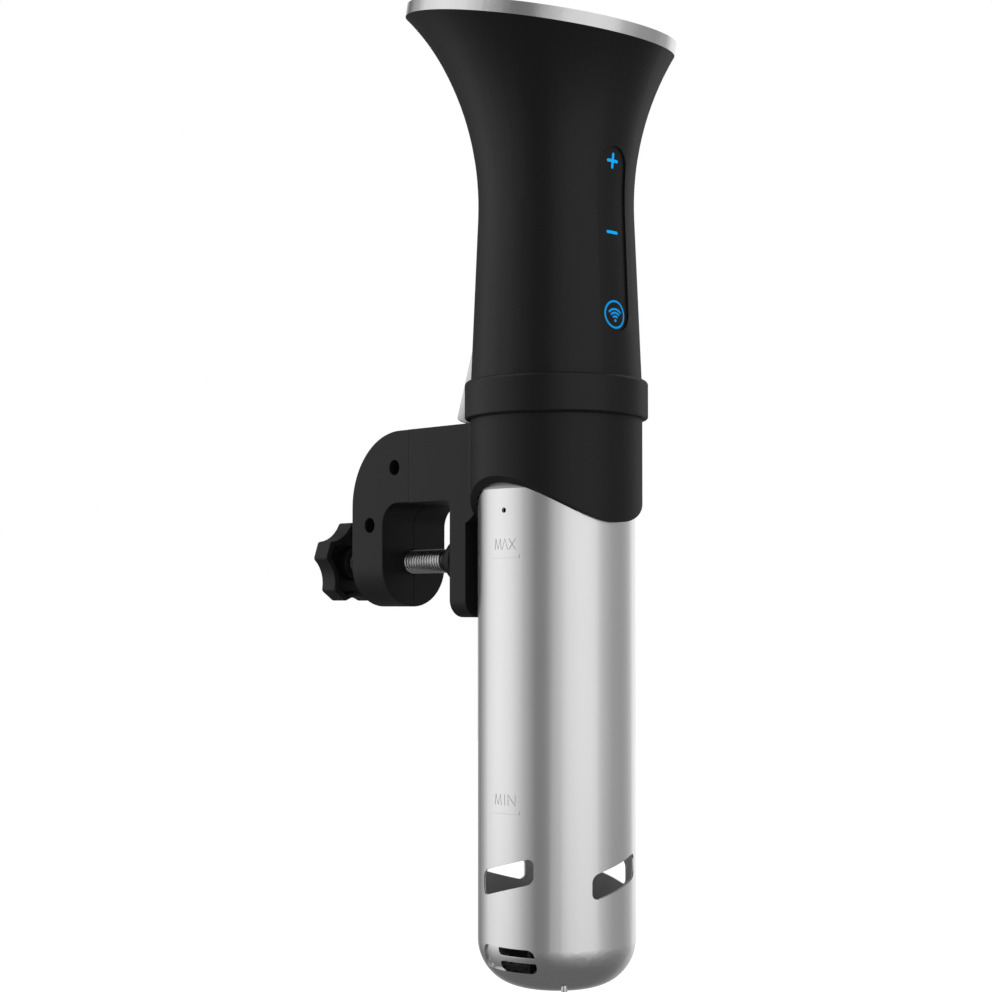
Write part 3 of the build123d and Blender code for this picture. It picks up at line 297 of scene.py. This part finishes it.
def grainedMaterial(name, group, values, bump, metal=0.0, specular=0.5, coat=0.0, coatRough=0.1, edge=0.0):
    material, tree, shader = startMaterial(name)
    grain = placeGroup(tree, group, values)
    tree.links.new(grain.outputs["Color"], shader.inputs["Base Color"])
    tree.links.new(grain.outputs["Roughness"], shader.inputs["Roughness"])
    if edge:        # duller where the surface turns away
        away = addNode(tree, "ShaderNodeLayerWeight", {"Blend": 0.5})
        steep = addNode(tree, "ShaderNodeMath", {1: 2.0}, operation="POWER")      # squared
        tree.links.new(away.outputs["Facing"], steep.inputs[0])
        duller = addNode(tree, "ShaderNodeMath", {1: edge}, operation="MULTIPLY_ADD")
        tree.links.new(steep.outputs[0], duller.inputs[0])
        tree.links.new(grain.outputs["Roughness"], duller.inputs[2])
        tree.links.new(duller.outputs[0], shader.inputs["Roughness"])
    shader.inputs["Metallic"].default_value = metal
    shader.inputs["Specular IOR Level"].default_value = specular
    shader.inputs["Coat Weight"].default_value = coat
    shader.inputs["Coat Roughness"].default_value = coatRough
    relief = addNode(tree, "ShaderNodeBump", {"Strength": bump[0], "Distance": bump[1]})
    tree.links.new(grain.outputs["Height"], relief.inputs["Height"])
    tree.links.new(relief.outputs["Normal"], shader.inputs["Normal"])
    return material


def plastic(name, color, roughness, grain=2600.0, bump=(0.25, 0.00002), spread=0.06, specular=0.5, coat=0.0,
            edge=0.0):
    values = {"Color": (*color, 1), "Grain Scale": grain, "Roughness": roughness,
              "Roughness Spread": spread, "Color Spread": 0.12}
    return grainedMaterial(name, mouldedGrain, values, bump, specular=specular, coat=coat, edge=edge)


def metal(name, color, roughness, stretch=(1, 1, 0.02), grain=2400.0, bump=(0.1, 0.00001), spread=0.05):
    values = {"Color": (*color, 1), "Stretch": stretch, "Grain Scale": grain, "Roughness": roughness,
              "Roughness Spread": spread, "Color Spread": 0.05}
    return grainedMaterial(name, metalGrain, values, bump, metal=1.0)


def litBlue(name, strength):
    material, tree, shader = startMaterial(name)
    grain = placeGroup(tree, mouldedGrain, {"Color": (0.0, 0.385, 0.90, 1), "Grain Scale": 900.0,
                                            "Roughness": 0.35, "Color Spread": 0.1})
    shader.inputs["Base Color"].default_value = (0.0, 0.02, 0.05, 1)
    shader.inputs["Specular IOR Level"].default_value = 0.12
    tree.links.new(grain.outputs["Color"], shader.inputs["Emission Color"])
    tree.links.new(grain.outputs["Roughness"], shader.inputs["Roughness"])
    shader.inputs["Emission Strength"].default_value = strength
    return material


finishes = {
    "housing_black": plastic("satinBlack", (0.0080, 0.0080, 0.0082), 0.26, specular=0.24, edge=0.55),
    "clamp_black": plastic("clampBlack", (0.0080, 0.0080, 0.0082), 0.32, specular=0.22, edge=0.5),
    "bezel_silver": metal("anodisedSilver", (0.74, 0.74, 0.74), 0.15, stretch=(1, 1, 0.05)),
    "lens_dark": plastic("windowBlack", (0.004, 0.0045, 0.005), 0.06, bump=(0.02, 0.00001), specular=0.5),
    "symbol_blue": litBlue("litBlue", 1.0),
    "display_black": plastic("cellBlack", (0.006, 0.006, 0.008), 0.15, specular=0.5),
    "board_green": plastic("boardGreen", (0.02, 0.13, 0.055), 0.35, grain=900.0, coat=0.4),
    "skirt_steel": metal("satinSteel", (0.83, 0.83, 0.83), 0.24),
    "pin_steel": metal("brightSteel", (0.75, 0.75, 0.76), 0.16),
    "screw_steel": metal("zincSteel", (0.70, 0.70, 0.71), 0.24, stretch=(1, 0.05, 1)),
    "brass": metal("turnedBrass", (0.72, 0.50, 0.20), 0.25, stretch=(1, 0.05, 1)),
    "gland_grey": plastic("paleGrey", (0.90, 0.90, 0.90), 0.4),
    "seal_rubber": plastic("redSilicone", (0.35, 0.05, 0.03), 0.55),
    "bush_white": plastic("acetalWhite", (0.80, 0.80, 0.76), 0.35),
    "pump_plastic": plastic("pumpGrey", (0.045, 0.045, 0.05), 0.45),
    "motor_steel": metal("platedSteel", (0.50, 0.51, 0.52), 0.32),
    "magnet_grey": plastic("ferriteGrey", (0.035, 0.033, 0.032), 0.6, grain=1500.0),
    "copper": metal("windingCopper", (0.62, 0.27, 0.12), 0.3, stretch=(1, 1, 6.0), grain=700.0),
    "sink_aluminium": metal("drawnAluminium", (0.70, 0.70, 0.72), 0.35),
    "part_yellow": plastic("coilYellow", (0.62, 0.45, 0.03), 0.4, grain=500.0),
    "part_black": plastic("packageBlack", (0.02, 0.02, 0.02), 0.5),
}
slotOf = {}
for part in frame["record"]["subparts"]:
    slotOf[part["node"]] = part["material_slot"]
for name, piece in nodes.items():
    piece.data.materials.clear()
    piece.data.materials.append(finishes[slotOf[name]])
print("materials made for", len(nodes), "pieces")


# ways of working on a piece
def pickNothing():
    bpy.ops.object.select_all(action="DESELECT")


def pick(piece):
    pickNothing()
    piece.select_set(True)
    bpy.context.view_layer.objects.active = piece


def startEditing(piece):
    pick(piece)
    bpy.ops.object.mode_set(mode="EDIT")
    bpy.ops.mesh.select_mode(type="VERT")
    bpy.ops.mesh.select_all(action="SELECT")


def stopEditing():
    bpy.ops.object.mode_set(mode="OBJECT")


def applyPlace(piece):
    pick(piece)
    bpy.ops.object.transform_apply(location=True, rotation=True, scale=True)


# one vertex, to extrude a line from
def dot(place):
    pickNothing()
    bpy.ops.mesh.primitive_plane_add(size=mm)
    piece = bpy.context.active_object
    startEditing(piece)
    bpy.ops.mesh.merge(type="CENTER")
    bpy.ops.transform.translate(value=place)
    return piece


def profileLine(points, closed=False):
    piece = dot(points[0])
    steps = list(zip(points, points[1:]))
    for before, after in steps:
        move = [b - a for a, b in zip(before, after)]
        bpy.ops.mesh.extrude_region_move(TRANSFORM_OT_translate={"value": move})
    if closed:
        bpy.ops.mesh.select_all(action="SELECT")
        bpy.ops.mesh.remove_doubles(threshold=0.001 * mm)
    return piece


# an outline in mm, put in space by place and drawn out by depth
def flatShape(outline, place, depth):
    points = [place(a * mm, b * mm) for a, b in outline]
    piece = profileLine(points + points[:1], closed=True)
    bpy.ops.mesh.select_all(action="SELECT")
    bpy.ops.mesh.edge_face_add()
    bpy.ops.mesh.extrude_region_move(TRANSFORM_OT_translate={"value": [d * mm for d in depth]})
    bpy.ops.mesh.select_all(action="SELECT")
    bpy.ops.mesh.normals_make_consistent(inside=False)
    stopEditing()
    return piece


# a profile of (radius, place along the axis) in mm, spun round
def turnedShape(outline, steps=96, along="Z", height=0.0):
    if along == "Z":
        points = [(r * mm, 0, z * mm) for r, z in outline]
        center, axis = (0, 0, 0), (0, 0, 1)
    else:
        points = [(r * mm, y * mm, height * mm) for r, y in outline]
        center, axis = (0, 0, height * mm), (0, 1, 0)
    piece = profileLine(points)
    bpy.ops.mesh.select_all(action="SELECT")
    bpy.ops.mesh.spin(steps=steps, angle=2 * pi, center=center, axis=axis)
    bpy.ops.mesh.select_all(action="SELECT")
    bpy.ops.mesh.remove_doubles(threshold=0.002 * mm)
    bpy.ops.mesh.normals_make_consistent(inside=False)
    stopEditing()
    return piece


# a corner's third number is the radius of its round
def roundCorners(corners, closed=True, parts=4):
    made = []
    count = len(corners)
    for index, corner in enumerate(corners):
        here = Vector(corner[:2])
        size = corner[2] if len(corner) > 2 else 0
        if not size or (not closed and index in (0, count - 1)):
            made.append(tuple(here))
            continue
        before = Vector(corners[index - 1][:2]) - here
        after = Vector(corners[(index + 1) % count][:2]) - here
        half = before.angle(after) / 2
        back = size / tan(half)
        middle = here + (before.normalized() + after.normalized()).normalized() * (size / sin(half))
        first = here + before.normalized() * back - middle
        last = here + after.normalized() * back - middle
        turn = atan2(first.x * last.y - first.y * last.x, first.dot(last))
        for part in range(parts + 1):
            angle = turn * part / parts
            made.append((middle.x + first.x * cos(angle) - first.y * sin(angle),
                         middle.y + first.x * sin(angle) + first.y * cos(angle)))
    return made


def softenEdges(piece, width, segments=2, angle=30):
    pick(piece)
    soften = piece.modifiers.new("soften", "BEVEL")
    soften.width = width * mm
    soften.segments = segments
    soften.limit_method = "ANGLE"
    soften.angle_limit = radians(angle)
    bpy.ops.object.modifier_apply(modifier=soften.name)


def joinPieces(pieces):
    pickNothing()
    for piece in pieces:
        piece.select_set(True)
    bpy.context.view_layer.objects.active = pieces[0]
    bpy.ops.object.join()
    return pieces[0]


def cutWith(piece, cutter):
    pick(piece)
    cut = piece.modifiers.new("cut", "BOOLEAN")
    cut.operation = "DIFFERENCE"
    cut.solver = "EXACT"
    cut.object = cutter
    bpy.ops.object.modifier_apply(modifier=cut.name)
    bpy.data.objects.remove(cutter)


def finishPiece(piece, name, body, slot, replaced=(), material=None, smooth=40):
    applyPlace(piece)
    bpy.ops.object.shade_smooth_by_angle(angle=radians(smooth))
    even = piece.modifiers.new("even", "WEIGHTED_NORMAL")
    even.keep_sharp = True
    bpy.ops.object.modifier_apply(modifier=even.name)
    piece.name = name
    piece.data.name = name
    piece.data.materials.clear()
    piece.data.materials.append(material or finishes[slot])
    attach(piece, body)
    if replaced:
        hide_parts(*replaced)
    print("made", name, len(piece.data.polygons))
    return piece


# a node's mesh, merged into faces and softened along its edges
def copyNode(node, width, flat=0.6):
    piece = nodes[node].copy()
    piece.data = nodes[node].data.copy()
    piece.parent = None
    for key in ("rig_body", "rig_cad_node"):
        if key in piece:
            del piece[key]
    bpy.context.scene.collection.objects.link(piece)
    startEditing(piece)
    bpy.ops.mesh.remove_doubles(threshold=0.002 * mm)
    bpy.ops.mesh.dissolve_limited(angle_limit=radians(flat))
    stopEditing()
    softenEdges(piece, width)
    return piece


# clamp screw: the thread's ridge wound round a core
screwLow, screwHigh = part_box("clamp_screw")
screwHeight = (screwLow.z + screwHigh.z) / 2 / mm
clampScrew = {
    "outer": 4.9,
    "core": 4.02,
    "pitch": 1.5,
    "ridgeFoot": 1.42,       # width of the ridge at the core and at its crest
    "ridgeCrest": 0.28,
    "threadFrom": 62.0,
    "threadTo": 125.0,
    "stepsPerTurn": 32,
    "sunk": 0.15,            # of the ridge in the core
    "endRound": 0.4,
}


def makeClampScrew(values):
    low, high = screwLow.y / mm, screwHigh.y / mm
    half, crest = values["ridgeFoot"] / 2, values["ridgeCrest"] / 2
    inner, outer = values["core"] - values["sunk"], values["outer"]
    section = [(inner, -half), (outer, -crest), (outer, crest), (inner, half), (inner, -half)]
    ridge = profileLine([(r * mm, (values["threadFrom"] + y) * mm, 0) for r, y in section], closed=True)
    stopEditing()
    pick(ridge)
    winding = ridge.modifiers.new("winding", "SCREW")
    winding.axis = "Y"
    winding.angle = 2 * pi
    winding.screw_offset = values["pitch"] * mm
    winding.iterations = int((values["threadTo"] - values["threadFrom"]) / values["pitch"])
    winding.steps = winding.render_steps = values["stepsPerTurn"]
    bpy.ops.object.modifier_apply(modifier=winding.name)
    startEditing(ridge)
    bpy.ops.mesh.remove_doubles(threshold=0.001 * mm)
    bpy.ops.mesh.select_all(action="SELECT")
    bpy.ops.mesh.fill_holes(sides=0)
    bpy.ops.mesh.select_all(action="SELECT")
    bpy.ops.mesh.normals_make_consistent(inside=False)
    stopEditing()
    ridge.location.z = screwHeight * mm
    core, end = values["core"], values["endRound"]
    shank = turnedShape([(0, low), (core - end, low), (core, low + end), (core, high - end),
                         (core - end, high), (0, high)], 48, "Y", screwHeight)
    applyPlace(ridge)
    made = joinPieces([ridge, shank])
    return finishPiece(made, "threaded_rod", "screw", "screw_steel", ("clamp_screw",), smooth=35)


# clamp knob: five lobes, hollow towards the hook
knobLow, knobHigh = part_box("clamp_knob")
clampKnob = {
    "lobes": 5,
    "lobeReach": 17.3,
    "lobeHalf": 3.9,
    "valleyReach": 14.2,
    "corner": 1.6,
    "skin": 2.2,
    "hollow": 5.0,
    "hub": 7.4,
    "bore": 4.95,
    "hubRound": 0.5,
    "hubSunk": 0.2,          # of the hub in the hollow's floor
    "edge": 0.9,
    "valleyParts": 10,
}


def knobOutline(values, inset=0.0):
    reach, valley = values["lobeReach"] - inset, values["valleyReach"] - inset
    half = values["lobeHalf"] - inset / 2
    corner = values["corner"] * (1 - inset / 6)
    tip, spread = sqrt(reach ** 2 + half ** 2), atan2(half, reach)
    between = pi / values["lobes"] - spread
    far = (tip ** 2 - valley ** 2) / (2 * (tip * cos(between) - valley))
    radius = far - valley
    sweep = atan2(tip * sin(between), far - tip * cos(between))
    corners = []
    for lobe in range(values["lobes"]):
        middle = pi / 2 + lobe * 2 * pi / values["lobes"]
        corners.append((tip * cos(middle - spread), tip * sin(middle - spread), corner))
        corners.append((tip * cos(middle + spread), tip * sin(middle + spread), corner))
        hollow = middle + pi / values["lobes"]
        for part in range(1, values["valleyParts"]):
            angle = sweep * (2 * part / values["valleyParts"] - 1)
            a = far - radius * cos(angle)
            b = radius * sin(angle)
            corners.append((a * cos(hollow) - b * sin(hollow), a * sin(hollow) + b * cos(hollow)))
    return roundCorners(corners)


def makeKnob(values):
    low, high = knobLow.y, knobHigh.y
    center = screwHeight * mm
    knob = flatShape(knobOutline(values), lambda a, b: (a, low, center + b), (0, (high - low) / mm, 0))
    hollow = flatShape(knobOutline(values, values["skin"]), lambda a, b: (a, low - mm, center + b),
                       (0, values["hollow"] + 1, 0))
    cutWith(knob, hollow)
    softenEdges(knob, values["edge"] / 2, 3, 50)
    bore, edge = values["bore"], low / mm
    top = edge + values["hollow"] + values["hubSunk"]
    profile = [(bore, edge), (values["hub"], edge, values["hubRound"]), (values["hub"], top), (bore, top),
               (bore, edge)]
    hub = turnedShape(roundCorners(profile, closed=False), 48, "Y", screwHeight)
    made = joinPieces([knob, hub])
    return finishPiece(made, "five_lobe_knob", "screw", "clamp_black", ("clamp_knob",), smooth=40)


# pressure foot
padLow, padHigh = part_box("pressure_pad")
pressureFoot = {
    "face": 9.0,
    "rim": 3.0,
    "coneFrom": 7.1,
    "coneTo": 5.1,
    "cone": 2.8,
    "bore": 3.2,
    "boreDepth": 6.6,
}


def makeFoot(values):
    face, back = padLow.y / mm, padHigh.y / mm
    rimEnd = face + values["rim"]
    coneEnd = rimEnd + values["cone"]
    bottom = back - values["boreDepth"]
    outline = roundCorners([
        (0, face), (values["face"], face, 0.7), (values["face"], rimEnd, 0.5),
        (values["coneFrom"], rimEnd, 0.5), (values["coneTo"], coneEnd, 0.8), (values["coneTo"], back, 0.3),
        (values["bore"], back, 0.2), (values["bore"], bottom), (0, bottom)], closed=False, parts=5)
    made = turnedShape(outline, 80, "Y", screwHeight)
    return finishPiece(made, "round_foot", "foot", "clamp_black", ("pressure_pad",), smooth=40)


makeClampScrew(clampScrew)
makeKnob(clampKnob)
makeFoot(pressureFoot)
print("clamp screw, knob and foot made")


# rounds between the arm's sides and the sleeve
sleeveRound = {
    "radius": 6.0,
    "armHalf": 17.0,
    "sleeve": 32.8,
    "from": 186.3,
    "to": 213.8,
    "parts": 8,
    "sunk": (1.5, 1.0),      # of its straight sides in the arm and in the sleeve
}


def makeSleeveRound(values, side):
    size, arm, sleeve = values["radius"], values["armHalf"], values["sleeve"]
    a = arm + size
    b = sqrt((sleeve + size) ** 2 - a ** 2)
    last = atan2(-b, -a)
    inArm, inSleeve = values["sunk"]
    outline = [(arm - inArm, b), (arm, b)]
    for part in range(1, values["parts"] + 1):
        angle = pi + (last + pi) * part / values["parts"]
        outline.append((a + size * cos(angle), b + size * sin(angle)))
    outline.append((outline[-1][0] - inArm, outline[-1][1] - inSleeve))
    return flatShape([(side * x, y) for x, y in outline], lambda x, y: (x, y, values["from"] * mm),
                     (0, 0, values["to"] - values["from"]))


# moulded clamp and collar, with the small rounds of their mould edges
mouldEdges = {
    "clamp_sleeve": 0.5,
    "clamp_hook_left": 0.7,
    "clamp_hook_right": 0.7,
    "collar_ring": 0.25,
    "steel_skirt": 0.3,
    "outlet_grilles": 0.2,
    "skirt_feet": 0.5,
    "head_shell": 0.12,
    "top_bezel": 0.4,
    "display_lens": 0.15,
}
softCopies = {}
for name, width in mouldEdges.items():
    body = nodes[name]["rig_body"]
    copy = copyNode(name, width)
    if name == "clamp_sleeve":
        copy = joinPieces([copy] + [makeSleeveRound(sleeveRound, side) for side in (-1, 1)])
    softCopies[name] = finishPiece(copy, name + "_soft", body, slotOf[name], (name,))


# the skirt is satin outside, and matt on its rolled shoulder and inside
rolledSkirt = {
    "shoulderFrom": 0.18645,
    "innerRadius": 0.0296,
    "innerFrom": 0.0175,     # height over which the inside counts, above the outlets
    "shoulder": {"Base Color": (0.42, 0.42, 0.42, 1), "Roughness": 0.6, "Metallic": 0.55},
    "inside": {"Base Color": (0.85, 0.85, 0.85, 1), "Roughness": 0.45, "Metallic": 0.2},
}


def maskMaterial(material, mask, values):
    tree = material.node_tree
    shader = tree.nodes["Principled BSDF"]
    for socket, value in values.items():
        kind = "RGBA" if socket == "Base Color" else "FLOAT"
        sides = {"A": shader.inputs[socket].default_value, "B": value}
        mix = addNode(tree, "ShaderNodeMix", sides, data_type=kind)
        if shader.inputs[socket].links:
            tree.links.new(shader.inputs[socket].links[0].from_socket, mix.inputs["A"])
        tree.links.new(mask, mix.inputs["Factor"])
        tree.links.new(mix.outputs["Result"], shader.inputs[socket])


def makeSkirtSteel(values):
    material = finishes["skirt_steel"].copy()
    material.name = "rolledSteel"
    tree = material.node_tree
    place = addNode(tree, "ShaderNodeTexCoord")
    split = addNode(tree, "ShaderNodeSeparateXYZ")
    tree.links.new(place.outputs["Object"], split.inputs[0])
    above = addNode(tree, "ShaderNodeMath", {1: values["shoulderFrom"]}, operation="GREATER_THAN")
    tree.links.new(split.outputs["Z"], above.inputs[0])
    flatten = addNode(tree, "ShaderNodeVectorMath", {1: (1, 1, 0)}, operation="MULTIPLY")
    tree.links.new(place.outputs["Object"], flatten.inputs[0])
    reach = addNode(tree, "ShaderNodeVectorMath", operation="LENGTH")
    tree.links.new(flatten.outputs[0], reach.inputs[0])
    within = addNode(tree, "ShaderNodeMath", {1: values["innerRadius"]}, operation="LESS_THAN")
    tree.links.new(reach.outputs["Value"], within.inputs[0])
    low = addNode(tree, "ShaderNodeMath", {1: values["innerFrom"]}, operation="GREATER_THAN")
    tree.links.new(split.outputs["Z"], low.inputs[0])
    inside = addNode(tree, "ShaderNodeMath", operation="MULTIPLY")
    tree.links.new(within.outputs[0], inside.inputs[0])
    tree.links.new(low.outputs[0], inside.inputs[1])
    maskMaterial(material, inside.outputs[0], values["inside"])
    maskMaterial(material, above.outputs[0], values["shoulder"])
    return material


softCopies["steel_skirt"].data.materials[0] = makeSkirtSteel(rolledSkirt)
# the hook screws are painted near black as painted shade, so their deep holes look dark
nodes["hook_screws"].data.materials[0] = metal("paintedShadeSteel", (0.05, 0.05, 0.052), 0.35)
nodes["wireless_symbol"].data.materials[0] = litBlue("finerBlue", 0.72)


# cord gland: tapered boot, cut level above the clamp's arm
cordGland = {
    "root": (30.05, 268.2),      # y and z of the axis where it leaves the head
    "tip": (50.3, 216.8),
    "rootRadius": 6.2,
    "tipRadius": 4.4,
    "bore": 3.6,
    "boreDepth": 9.0,
    "plugRadius": 4.4,
    "plugHeight": 261.2,
    "plugFrom": 27.4,
    "plugPast": 2.0,
    "rootPast": 1.06,        # how far the boot runs on into the head, as a share of its length
    "rounds": (0.4, 0.3, 0.9),
}


def makeGland(values):
    root, tip = Vector(values["root"]), Vector(values["tip"])
    length = (root - tip).length
    grow = (values["rootRadius"] - values["tipRadius"]) / length
    start, bore, deep = values["tipRadius"], values["bore"], values["boreDepth"]
    floorRound, lipRound, tipRound = values["rounds"]
    end = length * values["rootPast"]
    corners = [(0, deep), (bore, deep, floorRound), (bore, 0, lipRound), (start, 0, tipRound),
               (start + grow * end, end), (0, end)]
    boot = turnedShape(roundCorners(corners, closed=False), 64)
    boot.rotation_euler = (-atan2(root.x - tip.x, root.y - tip.y), 0, 0)
    boot.location = (0, tip.x * mm, tip.y * mm)
    applyPlace(boot)
    plugRadius, plugFrom = values["plugRadius"], values["plugFrom"]
    plugTo = root.x + values["plugPast"]
    plug = turnedShape([(0, plugFrom), (plugRadius, plugFrom), (plugRadius, plugTo), (0, plugTo)],
                       32, "Y", values["plugHeight"])
    made = joinPieces([boot, plug])
    return finishPiece(made, "gland_boot", "head", "gland_grey", ("cord_gland",), smooth=40)


makeGland(cordGland)


# level marks let into the skirt
levelMarks = {
    "turn": 185.4,
    "radius": 29.98,
    "height": 4.0,
    "stroke": 0.11,
    "fine": 0.035,
    "words": {165.8: (("M", -5.0, 3.2), ("V", -1.3, 2.8), ("X", 2.0, 3.0)),
              71.6: (("M", -5.0, 3.3), ("I", 0.0, 0.0), ("N", 1.6, 3.2))},
    "lineDrop": 5.1,
    "lineHalf": 6.6,
    "tick": 1.2,
    "longest": 0.8,          # step along a stroke that follows the skirt's round
}
strokes = {
    "M": [[(0, 0), (0.12, 1), (0.5, 0.05), (0.88, 1), (1, 0)]],
    "V": [[(0, 0), (0.5, 1), (1, 0)]],       # upright letter without its bar
    "X": [[(0, 0), (1, 1)], [(0, 1), (1, 0)]],
    "I": [[(0, 0), (0, 1)]],
    "N": [[(0, 0), (0, 1), (1, 0), (1, 1)]],
}


def markStroke(values, points, thickness):
    placed = []
    for (a, b), (c, d) in zip(points, points[1:]):
        parts = max(1, int(abs(c - a) / values["longest"]))
        placed += [(a + (c - a) * part / parts, b + (d - b) * part / parts) for part in range(parts)]
    placed.append(points[-1])
    around = []
    for across, height in placed:
        angle = radians(values["turn"]) + across / values["radius"]
        around.append((values["radius"] * cos(angle) * mm, values["radius"] * sin(angle) * mm, height * mm))
    piece = profileLine(around)
    stopEditing()
    applyPlace(piece)
    bpy.ops.object.convert(target="CURVE")
    piece = bpy.context.active_object
    piece.data.bevel_depth = thickness * mm
    piece.data.bevel_resolution = 1
    piece.data.use_fill_caps = True
    bpy.ops.object.convert(target="MESH")
    return bpy.context.active_object


def makeLevelMarks(values):
    made = []
    for middle, letters in values["words"].items():
        low = middle - values["height"] / 2
        for letter, left, wide in letters:
            for stroke in strokes[letter]:
                points = [(left + a * wide, low + b * values["height"]) for a, b in stroke]
                made.append(markStroke(values, points, values["stroke"]))
        line = middle - values["lineDrop"]
        half = values["lineHalf"]
        made.append(markStroke(values, [(-half, line), (half, line)], values["fine"]))
        made.append(markStroke(values, [(half, line), (half, line + values["tick"])], values["stroke"]))
    return finishPiece(joinPieces(made), "level_marks", "skirt", "skirt_steel", (), etchedGrey, smooth=60)


etchedGrey = plastic("etchedGrey", (0.26, 0.26, 0.26), 0.5)
makeLevelMarks(levelMarks)
print("gland and level marks made")


# figures that show through the dark window when the circulator is on
lensLow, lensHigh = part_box("display_lens")
figures = {
    "tilt": 12.9,            # of the rim, in degrees
    "height": 8.5,
    "wide": 4.6,
    "bar": 0.95,
    "gap": 0.25,
    "step": 7.4,
    "lean": 0.10,
    "bars": {"5": "afgcd", "8": "abcdefg", "0": "abcdef"},
    "shown": (("5", -1.5), ("8", -0.5), ("0", 0.75)),
    "dot": 0.13,
    "raise": 0.012,
    "sunk": 0.05,
}


def makeFigures(values):
    tall, wide, bar, gap = values["height"], values["wide"], values["bar"], values["gap"]
    half = bar / 2

    def across(y):
        return [(gap, y), (gap + half, y + half), (wide - gap - half, y + half), (wide - gap, y),
                (wide - gap - half, y - half), (gap + half, y - half)]

    def upright(x, low):
        high = low + tall / 2
        return [(x, low + gap), (x - half, low + gap + half), (x - half, high - gap - half), (x, high - gap),
                (x + half, high - gap - half), (x + half, low + gap + half)]

    shapes = {"a": across(tall), "g": across(tall / 2), "d": across(0), "f": upright(0, tall / 2),
              "e": upright(0, 0), "b": upright(wide, tall / 2), "c": upright(wide, 0)}
    center = Vector((0, (lensLow.y + lensHigh.y) / 2, (lensLow.z + lensHigh.z) / 2))
    tilt = radians(values["tilt"])
    normal = Vector((0, -sin(tilt), cos(tilt)))
    top = max(vertex.co.dot(normal) for vertex in nodes["display_lens"].data.vertices)
    along = Vector((0, cos(tilt), sin(tilt)))
    origin = along * center.dot(along) + normal * (top - values["sunk"] * mm)
    depth = normal * (values["sunk"] + values["raise"])

    def onLens(x, y):
        return origin + Vector((x, 0, 0)) + along * y

    made = []
    for figure, place in values["shown"]:
        for letter in values["bars"][figure]:
            left = place * values["step"]
            outline = [(left + x + y * values["lean"], y - tall / 2) for x, y in shapes[letter]]
            made.append(flatShape(outline, onLens, depth))
    left, low = values["dot"] * values["step"], -tall / 2
    square = [(left, low - half), (left + bar, low - half), (left + bar, low + half), (left, low + half)]
    made.append(flatShape(square, onLens, depth))
    return finishPiece(joinPieces(made), "lit_figures", "head", "symbol_blue", (), smooth=30)


makeFigures(figures)
